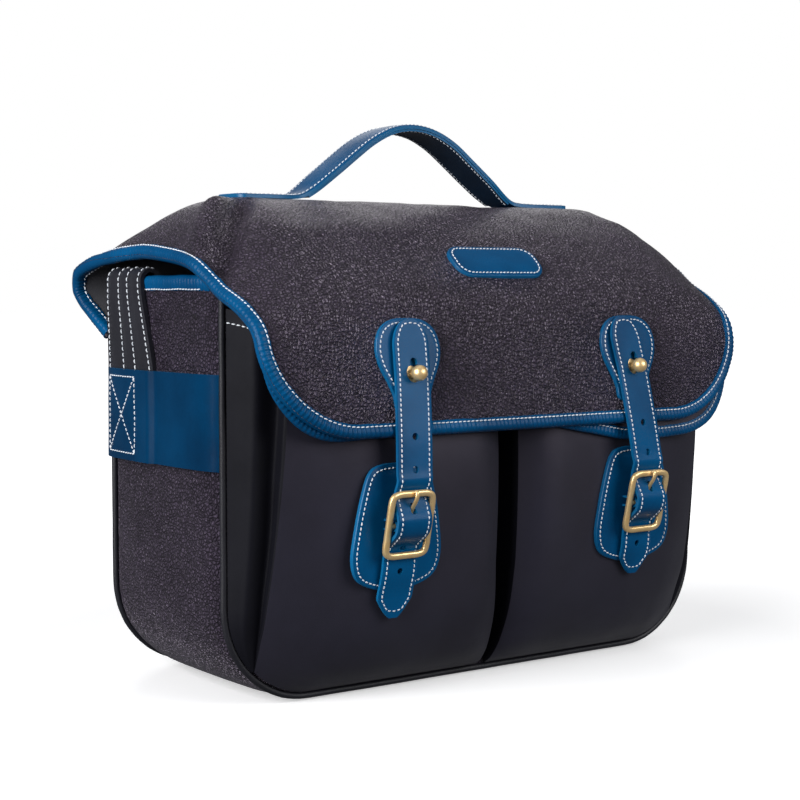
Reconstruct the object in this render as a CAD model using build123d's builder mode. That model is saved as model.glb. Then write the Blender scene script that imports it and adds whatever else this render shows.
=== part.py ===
from build123d import *
import math
import os

# Leather satchel in millimetres. X runs left to right seen from the front, -Y is the front, +Z is up.
# The origin is the middle of the base, on the surface the bag stands on.

# ---- body -------------------------------------------------------------------------------------
half_width = 190.0         # middle to the outside of a side gusset
half_depth = 66.0          # middle to the edge of the gusset, under the piping
above = 400.0              # clear of everything, for cutting outlines
corner_radius = 60.0       # lower corners of the body
leather = 3.0              # gusset and panels
front_height = 240.0
side_height = 254.0
back_height = 254.0
piping_radius = 2.4
piping_room = 2.5          # piping axis to each face it is tucked between
panel_inset = 5.0          # panel edge inside the body's outline
panel_thickness = 3.5
lining_thickness = 1.2
lining_height = 238.0
lining_gap = 0.1
binding_height = 8.0       # folded edge along the top of each side gusset
binding_room = 2.0         # gusset edge up to the fold inside it
binding_corner = 0.5
binding_lip = 1.1

# ---- side bands and shoulder strap ------------------------------------------------------------
band_bottom = 140.0
band_top = 196.0
band_thickness = 2.8
band_stand_off = 3.4       # room for the end of the shoulder strap under the band
shoulder_width = 46.0
shoulder_thickness = 3.0
shoulder_y = 38.0          # middle of the shoulder strap
shoulder_under = 191.8     # its middle layer where it is sewn under the band
shoulder_outside = 194.6   # where it stands out over the bound edge of the gusset
shoulder_leave = 204.0     # height where it starts to stand out
shoulder_arrive = 238.0    # height where it has
shoulder_inside = 182.6    # and inside the bag
shoulder_bottom = 143.0
shoulder_over = 251.0      # height of the turn's centre above the gusset
fold_radius = 5.0          # folds of the part that lies in the bag
fold_reach = 120.0

# ---- main flap --------------------------------------------------------------------------------
hinge_y = 88.0
hinge_z = 261.0
flap_half_width = 192.0
flap_flat_half = 140.0     # the ridge is level this far out, then the ends droop
flap_bottom = 160.0
flap_corner = 55.0
edge_width = 5.0           # width of the bound edge
flap_leather = 2.6
flap_lining_far = 3.8
edge_proud = 0.9
flap_middle = [
    (88, 264), (80, 280), (58, 293), (34, 301), (-6, 301), (-28, 296),
    (-52, 285), (-70, 274), (-98, 248), (-108, 228), (-119.5, flap_bottom),
]
flap_end = [
    (88, 262), (81, 266), (58, 269), (34, 271.5), (-6, 271.5), (-28, 270.5),
    (-50, 268.5), (-68, 264), (-94, 246), (-108, 228), (-119.5, flap_bottom),
]
yoke_path = [(74.2, 214), (80, 228), (88, 243), (88, 256.5)]
yoke_half_width = 190.0

# ---- pocket flap ------------------------------------------------------------------------------
pocket_flap_path = [(-73, 247), (-90, 241), (-103.5, 222), (-115.2, 149)]
pocket_flap_half = 184.0
pocket_flap_bottom = 149.0
pocket_flap_corner = 48.0
pocket_flap_thickness = 2.4
pocket_flap_edge = 4.0

# ---- pockets ----------------------------------------------------------------------------------
pocket_path = [
    (-72.5, 5), (-81, 10), (-94, 23), (-104.5, 50), (-111.3, 142), (-106.5, 178), (-102, 205),
]
pocket_thickness = 2.4
pocket_outer = 186.0       # outer edge of the bellows at the body
pocket_radius = 56.0
pocket_front_outer = 163.0 # and at the front, where the pocket is narrower
pocket_front_radius = 36.0
pocket_front_y = -112.0
pocket_gap_bottom = 4.0    # half the gap between the pockets at the base
pocket_gap_top = 12.0
pocket_inner_radius = 22.0
pocket_top = 205.0
bellows_thickness = 2.0
bellows_back = -71.2
bellows_top = [(-71.2, 234), (-88, 230), (-99.4, 205)]

# ---- closures ---------------------------------------------------------------------------------
closure_x = 88.0
buckle_x = 95.0
stud_z = 195.0
stud_ball = 9.5
stud_neck = 5.0
stud_reach = 9.9           # flap face to the ball's centre
stud_base = 12.0
stud_base_height = 1.6
patch_thickness = 1.8
# Right-hand half outlines of the two patches, as (across, up) from the stud and from patch_middle_z.
stud_patch_outline = [(11, -20), (23, 6), (23, 32)]
stud_patch_radii = [3, 16, 14]
buckle_patch_outline = [(33, -31), (24, 44)]
buckle_patch_radii = [15, 14]
patch_middle_z = 100.0
strap_width = 25.0
strap_thickness = 2.5
keyhole = 12.0
keyhole_rise = 1.0         # middle of the keyhole and of its narrow notch, above the stud
notch_rise = 7.0
strap_shoulder = 8.0       # height above the stud where the strap starts to narrow to its tip
strap_tip = 5.0            # half width of the tip
buckle_width = 33.0
buckle_height = 42.0
buckle_lean = 13.0         # the strap behind the top bar pushes it forward, degrees
bar_radius = 2.0
bar_z = 108.5
bar_y = -123.5
centre_bar_radius = 1.5
closure_path = [(-113.4, 228), (-117.8, 198), (-123.4, 163), (-126.2, 136)]
# The tail's middle layer: first in the buckle's plane as (out, up) from the centre bar, then (y, z).
threaded_path = [(-2.6, 26), (-3.4, 20), (-3.4, 13.8), (4.8, 5), (4.8, -3), (-3.4, -13.5), (-3.4, -22)]
hanging_path = [(-110.9, 70), (-108.4, 51)]

loop_radius = 2.8          # middle of the leather round the centre bar
loop_thickness = 1.2
loop_width = 22.0
loop_slot = 4.6            # room for the prong
loop_back = -113.4
prong_ring = 3.0
prong_clearance = 0.15
prong_width = 3.0
# Outline of the prong's arm as (out, up) from the centre bar.
prong_arm = [
    (1.5, 2.6), (-1.0, 2.8), (0.2, 12), (2.5, 16.5), (2.5, 21.5), (4.6, 21.5), (4.6, 15.5), (2.4, 10.5),
]
tail_slot = 11.0
tail_slot_height = 10.5    # middle of the slot for the prong, above the centre bar
tail_point = 12.0
strap_hole = 5.0
hole_z = 82.0              # the free hole below the buckle
upper_holes = [160.0, 140.0]
buckle_corner = 7.0
screw_radius = 4.0
screw_height = 1.2

# ---- name patch and handle --------------------------------------------------------------------
name_patch_width = 70.0
name_patch_height = 27.0
name_patch_corner = 6.0
handle_y = 14.0
handle_width = 32.0
handle_foot = 87.0
handle_tab_end = 135.0
handle_base = 303.0
handle_slope = 37.5
handle_apex_radius = 62.0
handle_leather = 2.6
handle_total = 4.0
handle_tab_thickness = 4.0
handle_tab_corner = 2.0
handle_tab_gap = 1.0       # between a tab and the foot of the arch
handle_tilt = 60.0         # how far the arch leans to either side
handle_lift = 1.5          # pivot height over the flap, less a little clearance

os.makedirs("parts", exist_ok=True)
sides = [("left", -1), ("right", 1)]


def save(piece, name):
    piece.part.label = name
    export_step(piece.part, f"parts/{name}.step")


def shifted(path, distance):
    """Points of an open path moved sideways by distance, to the right of its direction."""
    normals = []
    for (a, b), (c, d) in zip(path, path[1:]):
        length = math.hypot(c - a, d - b)
        normals.append(((d - b) / length, (a - c) / length))
    moved = []
    for index, (a, b) in enumerate(path):
        first = normals[max(index - 1, 0)]
        second = normals[min(index, len(normals) - 1)]
        share = 1 + first[0] * second[0] + first[1] * second[1]
        across = (first[0] + second[0]) / share
        along = (first[1] + second[1]) / share
        moved.append((a + distance * across, b + distance * along))
    return moved


def layer(path, near, far):
    """Face of a layer that follows path, between two distances from it."""
    outline = shifted(path, near) + shifted(path, far)[::-1]
    with BuildSketch() as face:
        with BuildLine():
            Polyline(*outline, close=True)
        make_face()
    return face.sketch


def cup(half, bottom, top, radius):
    """Face with straight sides and two rounded lower corners."""
    with BuildSketch() as face:
        with BuildLine():
            Line((-half, bottom + radius), (-half, top))
            Line((-half, top), (half, top))
            Line((half, top), (half, bottom + radius))
            JernArc((half, bottom + radius), (0, -1), radius, -90)
            Line((half - radius, bottom), (radius - half, bottom))
            JernArc((radius - half, bottom), (-1, 0), radius, -90)
        make_face()
    return face.sketch


def mirrored_outline(points, radii):
    """Face from its right-hand half: points go upwards and each corner is rounded."""
    with BuildSketch() as face:
        with BuildLine():
            FilletPolyline(
                *points, *[(-x, y) for x, y in points[::-1]], close=True, radius=radii + radii[::-1]
            )
        make_face()
    return face.sketch


# ---- gusset: one strip up both sides and under the base ---------------------------------------
gusset_top = side_height - binding_height + binding_room
with BuildPart() as gusset:
    with BuildSketch(Plane.XZ):
        add(cup(half_width, 0, gusset_top, corner_radius))
        add(cup(half_width - leather, leather, gusset_top, corner_radius - leather), mode=Mode.SUBTRACT)
    extrude(amount=half_depth, both=True)
save(gusset, "gusset")

# ---- panels -----------------------------------------------------------------------------------
panel_half = half_width - panel_inset
panel_radius = corner_radius - panel_inset
with BuildPart() as front_panel:
    with BuildSketch(Plane.XZ.offset(half_depth)):
        add(cup(panel_half, panel_inset, front_height, panel_radius))
    extrude(amount=panel_thickness)
save(front_panel, "front_panel")

with BuildPart() as back_panel:
    with BuildSketch(Plane.XZ.offset(-half_depth)):
        add(cup(panel_half, panel_inset, back_height, panel_radius))
    extrude(amount=-panel_thickness)
save(back_panel, "back_panel")

# ---- piping along the two seams ---------------------------------------------------------------
piping_half = half_width - piping_room
piping_y = half_depth + piping_room
piping_corner = corner_radius - piping_room
for name, y, top in [("front_piping", -piping_y, front_height), ("back_piping", piping_y, back_height)]:
    with BuildPart() as piping:
        with BuildLine(Plane.XZ.offset(-y)) as route:
            Line((-piping_half, top), (-piping_half, corner_radius))
            JernArc((-piping_half, corner_radius), (0, -1), piping_corner, 90)
            Line((-piping_half + piping_corner, piping_room), (piping_half - piping_corner, piping_room))
            JernArc((piping_half - piping_corner, piping_room), (1, 0), piping_corner, 90)
            Line((piping_half, corner_radius), (piping_half, top))
        with BuildSketch(Plane(origin=(-piping_half, y, top), x_dir=(1, 0, 0), z_dir=(0, 0, -1))):
            Circle(piping_radius)
        sweep()
    save(piping, name)

# ---- lining: an open bag inside the gusset and panels -----------------------------------------
lining_half = half_width - leather - lining_gap
lining_radius = corner_radius - leather - lining_gap
lining_bottom = leather + lining_gap
inner_half = lining_half - lining_thickness
inner_radius = lining_radius - lining_thickness
with BuildPart() as lining:
    with BuildSketch(Plane.XZ):
        add(cup(lining_half, lining_bottom, lining_height, lining_radius))
    extrude(amount=half_depth - lining_gap, both=True)
    with BuildSketch(Plane.XZ):
        add(cup(inner_half, lining_bottom + lining_thickness, lining_height, inner_radius))
    extrude(amount=half_depth - lining_gap - lining_thickness, both=True, mode=Mode.SUBTRACT)
save(lining, "lining")

# ---- bindings folded over the top of each side gusset -----------------------------------------
binding_middle = half_width - leather / 2
for side, sign in sides:
    with BuildPart() as binding:
        with BuildSketch(Plane.XZ):
            with Locations((sign * binding_middle, side_height - binding_height / 2)):
                RectangleRounded(leather + 2 * binding_lip, binding_height, binding_corner)
            with Locations((sign * binding_middle, gusset_top - binding_height / 2)):
                Rectangle(leather + 2 * lining_gap, binding_height + 2 * lining_gap, mode=Mode.SUBTRACT)
        extrude(amount=half_depth, both=True)
    save(binding, f"gusset_binding_{side}")

# ---- bands round the middle of each side ------------------------------------------------------
band_inside = half_width + band_stand_off
for side, sign in sides:
    with BuildPart() as band:
        with BuildSketch(Plane.XZ):
            with Locations((sign * (band_inside + band_thickness / 2), (band_bottom + band_top) / 2)):
                Rectangle(band_thickness, band_top - band_bottom)
        extrude(amount=half_depth, both=True)
    save(band, f"side_band_{side}")

# ---- shoulder strap: sewn under both bands, over the gussets and folded on the floor of the bag -
turn = (shoulder_outside - shoulder_inside) / 2
sweep_radius = shoulder_inside - (half_width - corner_radius)
straight = half_width - corner_radius
low = corner_radius - sweep_radius
middle = low + 2 * fold_radius
high = low + 4 * fold_radius
with BuildPart() as shoulder_strap:
    with BuildSketch(Plane.XZ.offset(-shoulder_y)):
        with BuildLine() as route:
            Line((-shoulder_under, shoulder_bottom), (-shoulder_under, shoulder_leave))
            Line((-shoulder_under, shoulder_leave), (-shoulder_outside, shoulder_arrive))
            Line((-shoulder_outside, shoulder_arrive), (-shoulder_outside, shoulder_over))
            JernArc((-shoulder_outside, shoulder_over), (0, 1), turn, -180)
            Line((-shoulder_inside, shoulder_over), (-shoulder_inside, corner_radius))
            JernArc((-shoulder_inside, corner_radius), (0, -1), sweep_radius, 90)
            Line((-straight, low), (fold_reach, low))
            JernArc((fold_reach, low), (1, 0), fold_radius, 180)
            Line((fold_reach, middle), (-fold_reach, middle))
            JernArc((-fold_reach, middle), (-1, 0), fold_radius, -180)
            Line((-fold_reach, high), (straight, high))
            JernArc((straight, high), (1, 0), sweep_radius, 90)
            Line((shoulder_inside, high + sweep_radius), (shoulder_inside, shoulder_over))
            JernArc((shoulder_inside, shoulder_over), (0, 1), turn, -180)
            Line((shoulder_outside, shoulder_over), (shoulder_outside, shoulder_arrive))
            Line((shoulder_outside, shoulder_arrive), (shoulder_under, shoulder_leave))
            Line((shoulder_under, shoulder_leave), (shoulder_under, shoulder_bottom))
        trace(line_width=shoulder_thickness)
    extrude(amount=shoulder_width / 2, both=True)
save(shoulder_strap, "shoulder_strap")

# ---- fixed back part of the flap, sewn low on the back panel ----------------------------------
with BuildPart() as flap_yoke:
    with BuildSketch(Plane.YZ):
        add(layer(yoke_path, 0, -leather))
    extrude(amount=yoke_half_width, both=True)
save(flap_yoke, "flap_yoke")


def flap_layer(near, far):
    """Solid layer of the flap: level in the middle, drooping towards both ends."""
    sections = [
        (-flap_half_width, flap_end),
        (-flap_flat_half, flap_middle),
        (flap_flat_half, flap_middle),
        (flap_half_width, flap_end),
    ]
    with BuildPart() as solid:
        for x, path in sections:
            with BuildSketch(Plane.YZ.offset(x)):
                add(layer(path, near, far))
        loft(ruled=True)
    return solid.part


def flap_shape(inset):
    """The flap's outline seen from the front, reaching above the ridge."""
    return cup(flap_half_width - inset, flap_bottom + inset, above, flap_corner - inset)


# ---- main flap: leather, lining and bound edge ------------------------------------------------
for name, near, far in [
    ("flap_outer", 0, -flap_leather),
    ("flap_lining", -flap_leather - lining_gap, -flap_lining_far),
]:
    with BuildPart() as flap_piece:
        add(flap_layer(near, far))
        with BuildSketch(Plane.XZ):
            add(flap_shape(edge_width))
        extrude(amount=above, both=True, mode=Mode.INTERSECT)
    save(flap_piece, name)

with BuildPart() as flap_binding:
    add(flap_layer(edge_proud, -flap_lining_far - edge_proud))
    with BuildSketch(Plane.XZ):
        add(flap_shape(0))
    extrude(amount=above, both=True, mode=Mode.INTERSECT)
    with BuildSketch(Plane.XZ):
        add(flap_shape(edge_width))
    extrude(amount=above, both=True, mode=Mode.SUBTRACT)
save(flap_binding, "flap_binding")

# ---- second flap over the pockets, with its own bound edge ------------------------------------
def pocket_flap_shape(inset):
    """The pocket flap's outline seen from the front."""
    return cup(
        pocket_flap_half - inset, pocket_flap_bottom + inset, above, pocket_flap_corner - inset
    )


with BuildPart() as pocket_flap:
    with BuildSketch(Plane.YZ):
        add(layer(pocket_flap_path, 0, -pocket_flap_thickness))
    extrude(amount=pocket_flap_half, both=True)
    with BuildSketch(Plane.XZ):
        add(pocket_flap_shape(pocket_flap_edge))
    extrude(amount=above, both=True, mode=Mode.INTERSECT)
save(pocket_flap, "pocket_flap")

with BuildPart() as pocket_flap_binding:
    with BuildSketch(Plane.YZ):
        add(layer(pocket_flap_path, edge_proud, -pocket_flap_thickness - edge_proud))
    extrude(amount=pocket_flap_half, both=True)
    with BuildSketch(Plane.XZ):
        add(pocket_flap_shape(0))
        add(pocket_flap_shape(pocket_flap_edge), mode=Mode.SUBTRACT)
    extrude(amount=above, both=True, mode=Mode.INTERSECT)
save(pocket_flap_binding, "pocket_flap_binding")


def pocket_shape(sign, outer, radius, inset):
    """Front view of one pocket at some depth: rounded lower corners and a slanted inner edge."""
    outer = outer - inset
    bottom = pocket_path[0][1] + inset
    lower = pocket_gap_bottom + inset
    upper = pocket_gap_top + inset
    with BuildSketch() as face:
        with BuildLine():
            FilletPolyline(
                (sign * upper, front_height),
                (sign * lower, bottom),
                (sign * outer, bottom),
                (sign * outer, front_height),
                radius=[pocket_inner_radius - inset, radius - inset],
            )
            Line((sign * outer, front_height), (sign * upper, front_height))
        make_face()
    return face.sketch


def pocket_block(sign, inset):
    """Solid that narrows from the body to the pocket's front."""
    with BuildPart() as block:
        with BuildSketch(Plane.XZ.offset(-bellows_back)):
            add(pocket_shape(sign, pocket_outer, pocket_radius, inset))
        with BuildSketch(Plane.XZ.offset(-pocket_front_y)):
            add(pocket_shape(sign, pocket_front_outer, pocket_front_radius, inset))
        loft(ruled=True)
    return block.part


# ---- pockets: front panel and the bellows that joins it to the body ---------------------------
for side, sign in sides:
    with BuildPart() as pocket_panel:
        with BuildSketch(Plane.YZ):
            add(layer(pocket_path, 0, pocket_thickness))
        extrude(amount=half_width, both=True)
        add(pocket_block(sign, 0), mode=Mode.INTERSECT)
    save(pocket_panel, f"pocket_panel_{side}")

    behind = shifted(pocket_path, pocket_thickness + lining_gap)
    with BuildPart() as bellows:
        with BuildSketch(Plane.YZ):
            with BuildLine():
                Polyline(*behind, *bellows_top[::-1], (bellows_back, behind[0][1]), close=True)
            make_face()
        extrude(amount=half_width, both=True)
        add(pocket_block(sign, 0), mode=Mode.INTERSECT)
        add(pocket_block(sign, bellows_thickness), mode=Mode.SUBTRACT)
    save(bellows, f"pocket_bellows_{side}")

# ---- planes of the flap's front face and of the pockets' front face ---------------------------
(top_y, top_z), (low_y, low_z) = flap_middle[-2], flap_middle[-1]
face_length = math.hypot(low_y - top_y, low_z - top_z)
face_normal = (0, (low_z - top_z) / face_length, (top_y - low_y) / face_length)
stud_y = top_y + (low_y - top_y) * (top_z - stud_z) / (top_z - low_z)
(pocket_low_y, pocket_low_z), (pocket_high_y, pocket_high_z) = pocket_path[3], pocket_path[4]
pocket_length = math.hypot(pocket_high_y - pocket_low_y, pocket_high_z - pocket_low_z)
pocket_normal = (
    0,
    -(pocket_high_z - pocket_low_z) / pocket_length,
    (pocket_high_y - pocket_low_y) / pocket_length,
)
patch_share = (patch_middle_z - pocket_low_z) / (pocket_high_z - pocket_low_z)
patch_middle_y = pocket_low_y + (pocket_high_y - pocket_low_y) * patch_share

lean = math.radians(buckle_lean)
buckle_normal = (0, -math.cos(lean), -math.sin(lean))
tail_path = [
    (bar_y - out * math.cos(lean) - up * math.sin(lean), bar_z - out * math.sin(lean) + up * math.cos(lean))
    for out, up in threaded_path
] + hanging_path

for side, sign in sides:
    flap_face = Plane(origin=(sign * closure_x, stud_y, stud_z), x_dir=(1, 0, 0), z_dir=face_normal)
    pocket_face = Plane(
        origin=(sign * buckle_x, patch_middle_y, patch_middle_z), x_dir=(1, 0, 0), z_dir=pocket_normal
    )

    # Teardrop patch under the stud, with a hole that the stud's flange sits in.
    with BuildPart() as stud_patch:
        with BuildSketch(flap_face):
            add(mirrored_outline(stud_patch_outline, stud_patch_radii))
            Circle(stud_base / 2 + lining_gap, mode=Mode.SUBTRACT)
        extrude(amount=patch_thickness)
    save(stud_patch, f"stud_patch_{side}")

    # Ball stud: flange on the flap, neck and ball.
    with BuildPart() as stud:
        with BuildSketch(flap_face):
            Circle(stud_base / 2)
        extrude(amount=stud_base_height)
        with BuildSketch(flap_face.offset(stud_base_height)):
            Circle(stud_neck / 2)
        extrude(amount=stud_reach - stud_base_height)
        with Locations(flap_face.offset(stud_reach)):
            Sphere(stud_ball / 2)
    save(stud, f"stud_{side}")

    # Bell-shaped patch that carries the buckle.
    with BuildPart() as buckle_patch:
        with BuildSketch(pocket_face):
            add(mirrored_outline(buckle_patch_outline, buckle_patch_radii))
        extrude(amount=patch_thickness)
    save(buckle_patch, f"buckle_patch_{side}")

    # Plane of the buckle, through its centre bar, leaning forward at the top.
    bar_middle = (sign * buckle_x, bar_y, bar_z)
    buckle_plane = Plane(origin=bar_middle, x_dir=(1, 0, 0), z_dir=buckle_normal)
    buckle_side = Plane(origin=bar_middle, x_dir=buckle_normal, z_dir=(-1, 0, 0))

    # Leather loop sewn to the patch that holds the buckle's centre bar, slotted for the prong.
    with BuildPart() as buckle_loop:
        with BuildSketch(Plane.YZ.offset(sign * buckle_x)):
            with BuildLine():
                Line((loop_back, bar_z + loop_radius), (bar_y, bar_z + loop_radius))
                JernArc((bar_y, bar_z + loop_radius), (-1, 0), loop_radius, 180)
                Line((bar_y, bar_z - loop_radius), (loop_back, bar_z - loop_radius))
            trace(line_width=loop_thickness)
        extrude(amount=loop_width / 2, both=True)
        with BuildSketch(Plane.XZ.offset(-bar_y - prong_ring - 1)):
            with Locations((sign * buckle_x, bar_z)):
                Rectangle(loop_slot, above)
        extrude(amount=above, mode=Mode.SUBTRACT)
    save(buckle_loop, f"buckle_loop_{side}")

    # Lower end of the closure strap: behind the top bar, over the centre bar, behind the bottom bar.
    tail_end = tail_path[-1][1]
    with BuildPart() as strap_tail:
        with BuildSketch(Plane.YZ.offset(sign * buckle_x)):
            add(layer(tail_path, -strap_thickness / 2, strap_thickness / 2))
        extrude(amount=strap_width / 2, both=True)
        with BuildSketch(buckle_plane):
            with Locations((0, tail_slot_height)):
                SlotOverall(tail_slot, strap_hole, rotation=90)
        extrude(amount=2 * strap_width, both=True, mode=Mode.SUBTRACT)
        with BuildSketch(Plane.XZ):
            with Locations((sign * buckle_x, hole_z)):
                Circle(strap_hole / 2)
            with Locations((sign * buckle_x, tail_end)):
                Rectangle(strap_width + 2, 2 * tail_point)
            with BuildLine():
                Polyline(
                    (sign * buckle_x, tail_end - 1),
                    (sign * buckle_x - strap_width / 2, tail_end + tail_point),
                    (sign * buckle_x + strap_width / 2, tail_end + tail_point),
                    close=True,
                )
            make_face(mode=Mode.SUBTRACT)
        extrude(amount=above, mode=Mode.SUBTRACT)
    save(strap_tail, f"strap_tail_{side}")

    # Upper part of the closure strap, from the buckle up over the stud, with its keyhole and holes.
    with BuildPart() as closure_strap:
        with BuildSketch(Plane.YZ):
            add(layer(closure_path, -strap_thickness / 2, strap_thickness / 2))
        extrude(amount=above, both=True)
        with BuildSketch(Plane.XZ):
            with BuildLine():
                Polyline(
                    (sign * buckle_x - strap_width / 2, closure_path[-1][1]),
                    (sign * buckle_x + strap_width / 2, closure_path[-1][1]),
                    (sign * closure_x + strap_width / 2, stud_z + strap_shoulder),
                    (sign * closure_x + strap_tip, closure_path[0][1]),
                    (sign * closure_x - strap_tip, closure_path[0][1]),
                    (sign * closure_x - strap_width / 2, stud_z + strap_shoulder),
                    close=True,
                )
            make_face()
            with Locations((sign * closure_x, stud_z + keyhole_rise)):
                Circle(keyhole / 2, mode=Mode.SUBTRACT)
            with Locations((sign * closure_x, stud_z + notch_rise)):
                Circle(keyhole / 4, mode=Mode.SUBTRACT)
            for height in upper_holes:
                share = (stud_z - height) / (stud_z - bar_z)
                with Locations((sign * (closure_x + share * (buckle_x - closure_x)), height)):
                    Circle(strap_hole / 2, mode=Mode.SUBTRACT)
        extrude(amount=above, mode=Mode.INTERSECT)
    save(closure_strap, f"closure_strap_{side}")

    # Buckle frame with its centre bar.
    with BuildPart() as buckle_frame:
        with BuildSketch(buckle_plane):
            RectangleRounded(buckle_width, buckle_height, buckle_corner)
            RectangleRounded(
                buckle_width - 4 * bar_radius,
                buckle_height - 4 * bar_radius,
                buckle_corner - 2 * bar_radius,
                mode=Mode.SUBTRACT,
            )
        extrude(amount=bar_radius, both=True)
        with BuildSketch(buckle_side):
            Circle(centre_bar_radius)
        extrude(amount=buckle_width / 2 - bar_radius, both=True)
    save(buckle_frame, f"buckle_frame_{side}")

    # Prong: a ring on the centre bar and an arm whose tip lies on the top bar.
    with BuildPart() as prong:
        with BuildSketch(buckle_side):
            Circle(prong_ring)
            with BuildLine():
                Polyline(*prong_arm, close=True)
            make_face()
            Circle(centre_bar_radius + prong_clearance, mode=Mode.SUBTRACT)
        extrude(amount=prong_width / 2, both=True)
    save(prong, f"prong_{side}")

# ---- name patch, blank, on the flap's upper slope ---------------------------------------------
(slope_y, slope_z), (slope_end_y, slope_end_z) = flap_middle[-4], flap_middle[-3]
slope_length = math.hypot(slope_end_y - slope_y, slope_end_z - slope_z)
slope_normal = (0, (slope_end_z - slope_z) / slope_length, (slope_y - slope_end_y) / slope_length)
slope_middle = (0, (slope_y + slope_end_y) / 2, (slope_z + slope_end_z) / 2)
with BuildPart() as name_patch:
    with BuildSketch(Plane(origin=slope_middle, x_dir=(1, 0, 0), z_dir=slope_normal)):
        RectangleRounded(name_patch_width, name_patch_height, name_patch_corner)
    extrude(amount=patch_thickness)
save(name_patch, "name_patch")

# ---- screws of the ball studs, inside the flap ------------------------------------------------
with BuildPart() as stud_screws:
    for side, sign in sides:
        screw_plane = Plane(
            origin=(sign * closure_x, stud_y, stud_z), x_dir=(1, 0, 0), z_dir=face_normal
        ).offset(-flap_lining_far)
        with BuildSketch(screw_plane):
            Circle(screw_radius)
        extrude(amount=-screw_height)
save(stud_screws, "stud_screws")

# ---- handle: two sewn tabs and the arch between them ------------------------------------------
ridge_z = flap_middle[3][1]
handle_tab_start = handle_foot + handle_tab_gap
for side, sign in sides:
    with BuildPart() as handle_tab:
        with BuildSketch(Plane.XY.offset(ridge_z)):
            with Locations((sign * (handle_tab_start + handle_tab_end) / 2, handle_y)):
                RectangleRounded(handle_tab_end - handle_tab_start, handle_width, handle_tab_corner)
        extrude(amount=handle_tab_thickness)
    save(handle_tab, f"handle_tab_{side}")

slope = math.radians(handle_slope)
tilt = math.radians(handle_tilt)
rise = handle_foot * math.tan(slope)
foot_half = handle_lift / math.sin(tilt)
full_height = (handle_width / 2 * math.sin(tilt) - handle_lift) / math.cos(tilt)
handle_under = handle_total - handle_leather - lining_gap
for name, depth, thickness in [
    ("handle_strap", handle_leather / 2, handle_leather),
    ("handle_lining", handle_total - handle_under / 2, handle_under),
]:
    apex = rise - depth / math.cos(slope)
    with BuildPart() as handle_layer:
        with BuildSketch(Plane.XZ.offset(-handle_y)):
            with BuildLine():
                FilletPolyline(
                    (-apex / math.tan(slope), handle_base),
                    (0, handle_base + apex),
                    (apex / math.tan(slope), handle_base),
                    radius=handle_apex_radius - depth,
                )
            trace(line_width=thickness)
        extrude(amount=handle_width / 2, both=True)
        # The legs narrow towards the tabs, so that the arch can lie over to either side.
        with BuildSketch(Plane.YZ):
            with BuildLine():
                Polyline(
                    (handle_y - foot_half, handle_base),
                    (handle_y + foot_half, handle_base),
                    (handle_y + handle_width / 2, handle_base + full_height),
                    (handle_y + handle_width / 2, above),
                    (handle_y - handle_width / 2, above),
                    (handle_y - handle_width / 2, handle_base + full_height),
                    close=True,
                )
            make_face()
        extrude(amount=half_width, both=True, mode=Mode.INTERSECT)
    save(handle_layer, name)
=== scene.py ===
import math

import bmesh
import bpy
import numpy as np
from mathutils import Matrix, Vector, noise


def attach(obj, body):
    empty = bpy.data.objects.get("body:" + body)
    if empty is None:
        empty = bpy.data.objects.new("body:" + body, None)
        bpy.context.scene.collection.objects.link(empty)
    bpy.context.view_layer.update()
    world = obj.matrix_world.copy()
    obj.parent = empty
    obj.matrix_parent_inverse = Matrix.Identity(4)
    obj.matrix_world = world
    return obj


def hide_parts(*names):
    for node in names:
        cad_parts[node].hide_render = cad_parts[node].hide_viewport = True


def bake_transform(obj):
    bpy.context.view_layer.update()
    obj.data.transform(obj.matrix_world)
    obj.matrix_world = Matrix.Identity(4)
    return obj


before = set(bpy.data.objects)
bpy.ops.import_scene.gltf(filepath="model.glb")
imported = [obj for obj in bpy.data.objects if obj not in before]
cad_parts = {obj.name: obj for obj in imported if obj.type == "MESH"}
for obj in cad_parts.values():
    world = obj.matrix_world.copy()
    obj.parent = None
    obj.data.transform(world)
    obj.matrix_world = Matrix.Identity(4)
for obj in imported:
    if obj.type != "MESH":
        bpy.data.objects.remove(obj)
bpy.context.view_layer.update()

# Leather satchel. Lengths here are millimetres in the frame of the CAD, and meshes are made in metres.
MM = 0.001
SIDES = [("left", -1), ("right", 1)]

# ---- materials


def new_material(name, colour, roughness):
    """Material with its principled shader, its node tree and a link function."""
    material = bpy.data.materials.new(name)
    material.use_nodes = True
    tree = material.node_tree
    shader = tree.nodes["Principled BSDF"]
    shader.inputs["Base Color"].default_value = (*colour, 1)
    shader.inputs["Roughness"].default_value = roughness
    return material, tree, shader


def texture(tree, kind, scale, vector, **settings):
    node = tree.nodes.new(kind)
    for key, value in settings.items():
        if hasattr(node, key):
            setattr(node, key, value)
        else:
            node.inputs[key].default_value = value
    node.inputs["Scale"].default_value = scale
    tree.links.new(vector, node.inputs["Vector"])
    return node


def stretch(tree, value, low, high, to_low, to_high):
    """Maps a value from one range to another."""
    node = tree.nodes.new("ShaderNodeMapRange")
    for socket, number in zip(("From Min", "From Max", "To Min", "To Max"), (low, high, to_low, to_high)):
        node.inputs[socket].default_value = number
    tree.links.new(value, node.inputs["Value"])
    return node.outputs["Result"]


def sum_of(tree, a, b):
    node = tree.nodes.new("ShaderNodeMath")
    node.operation = "ADD"
    tree.links.new(a, node.inputs[0])
    tree.links.new(b, node.inputs[1])
    return node.outputs[0]


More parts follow.
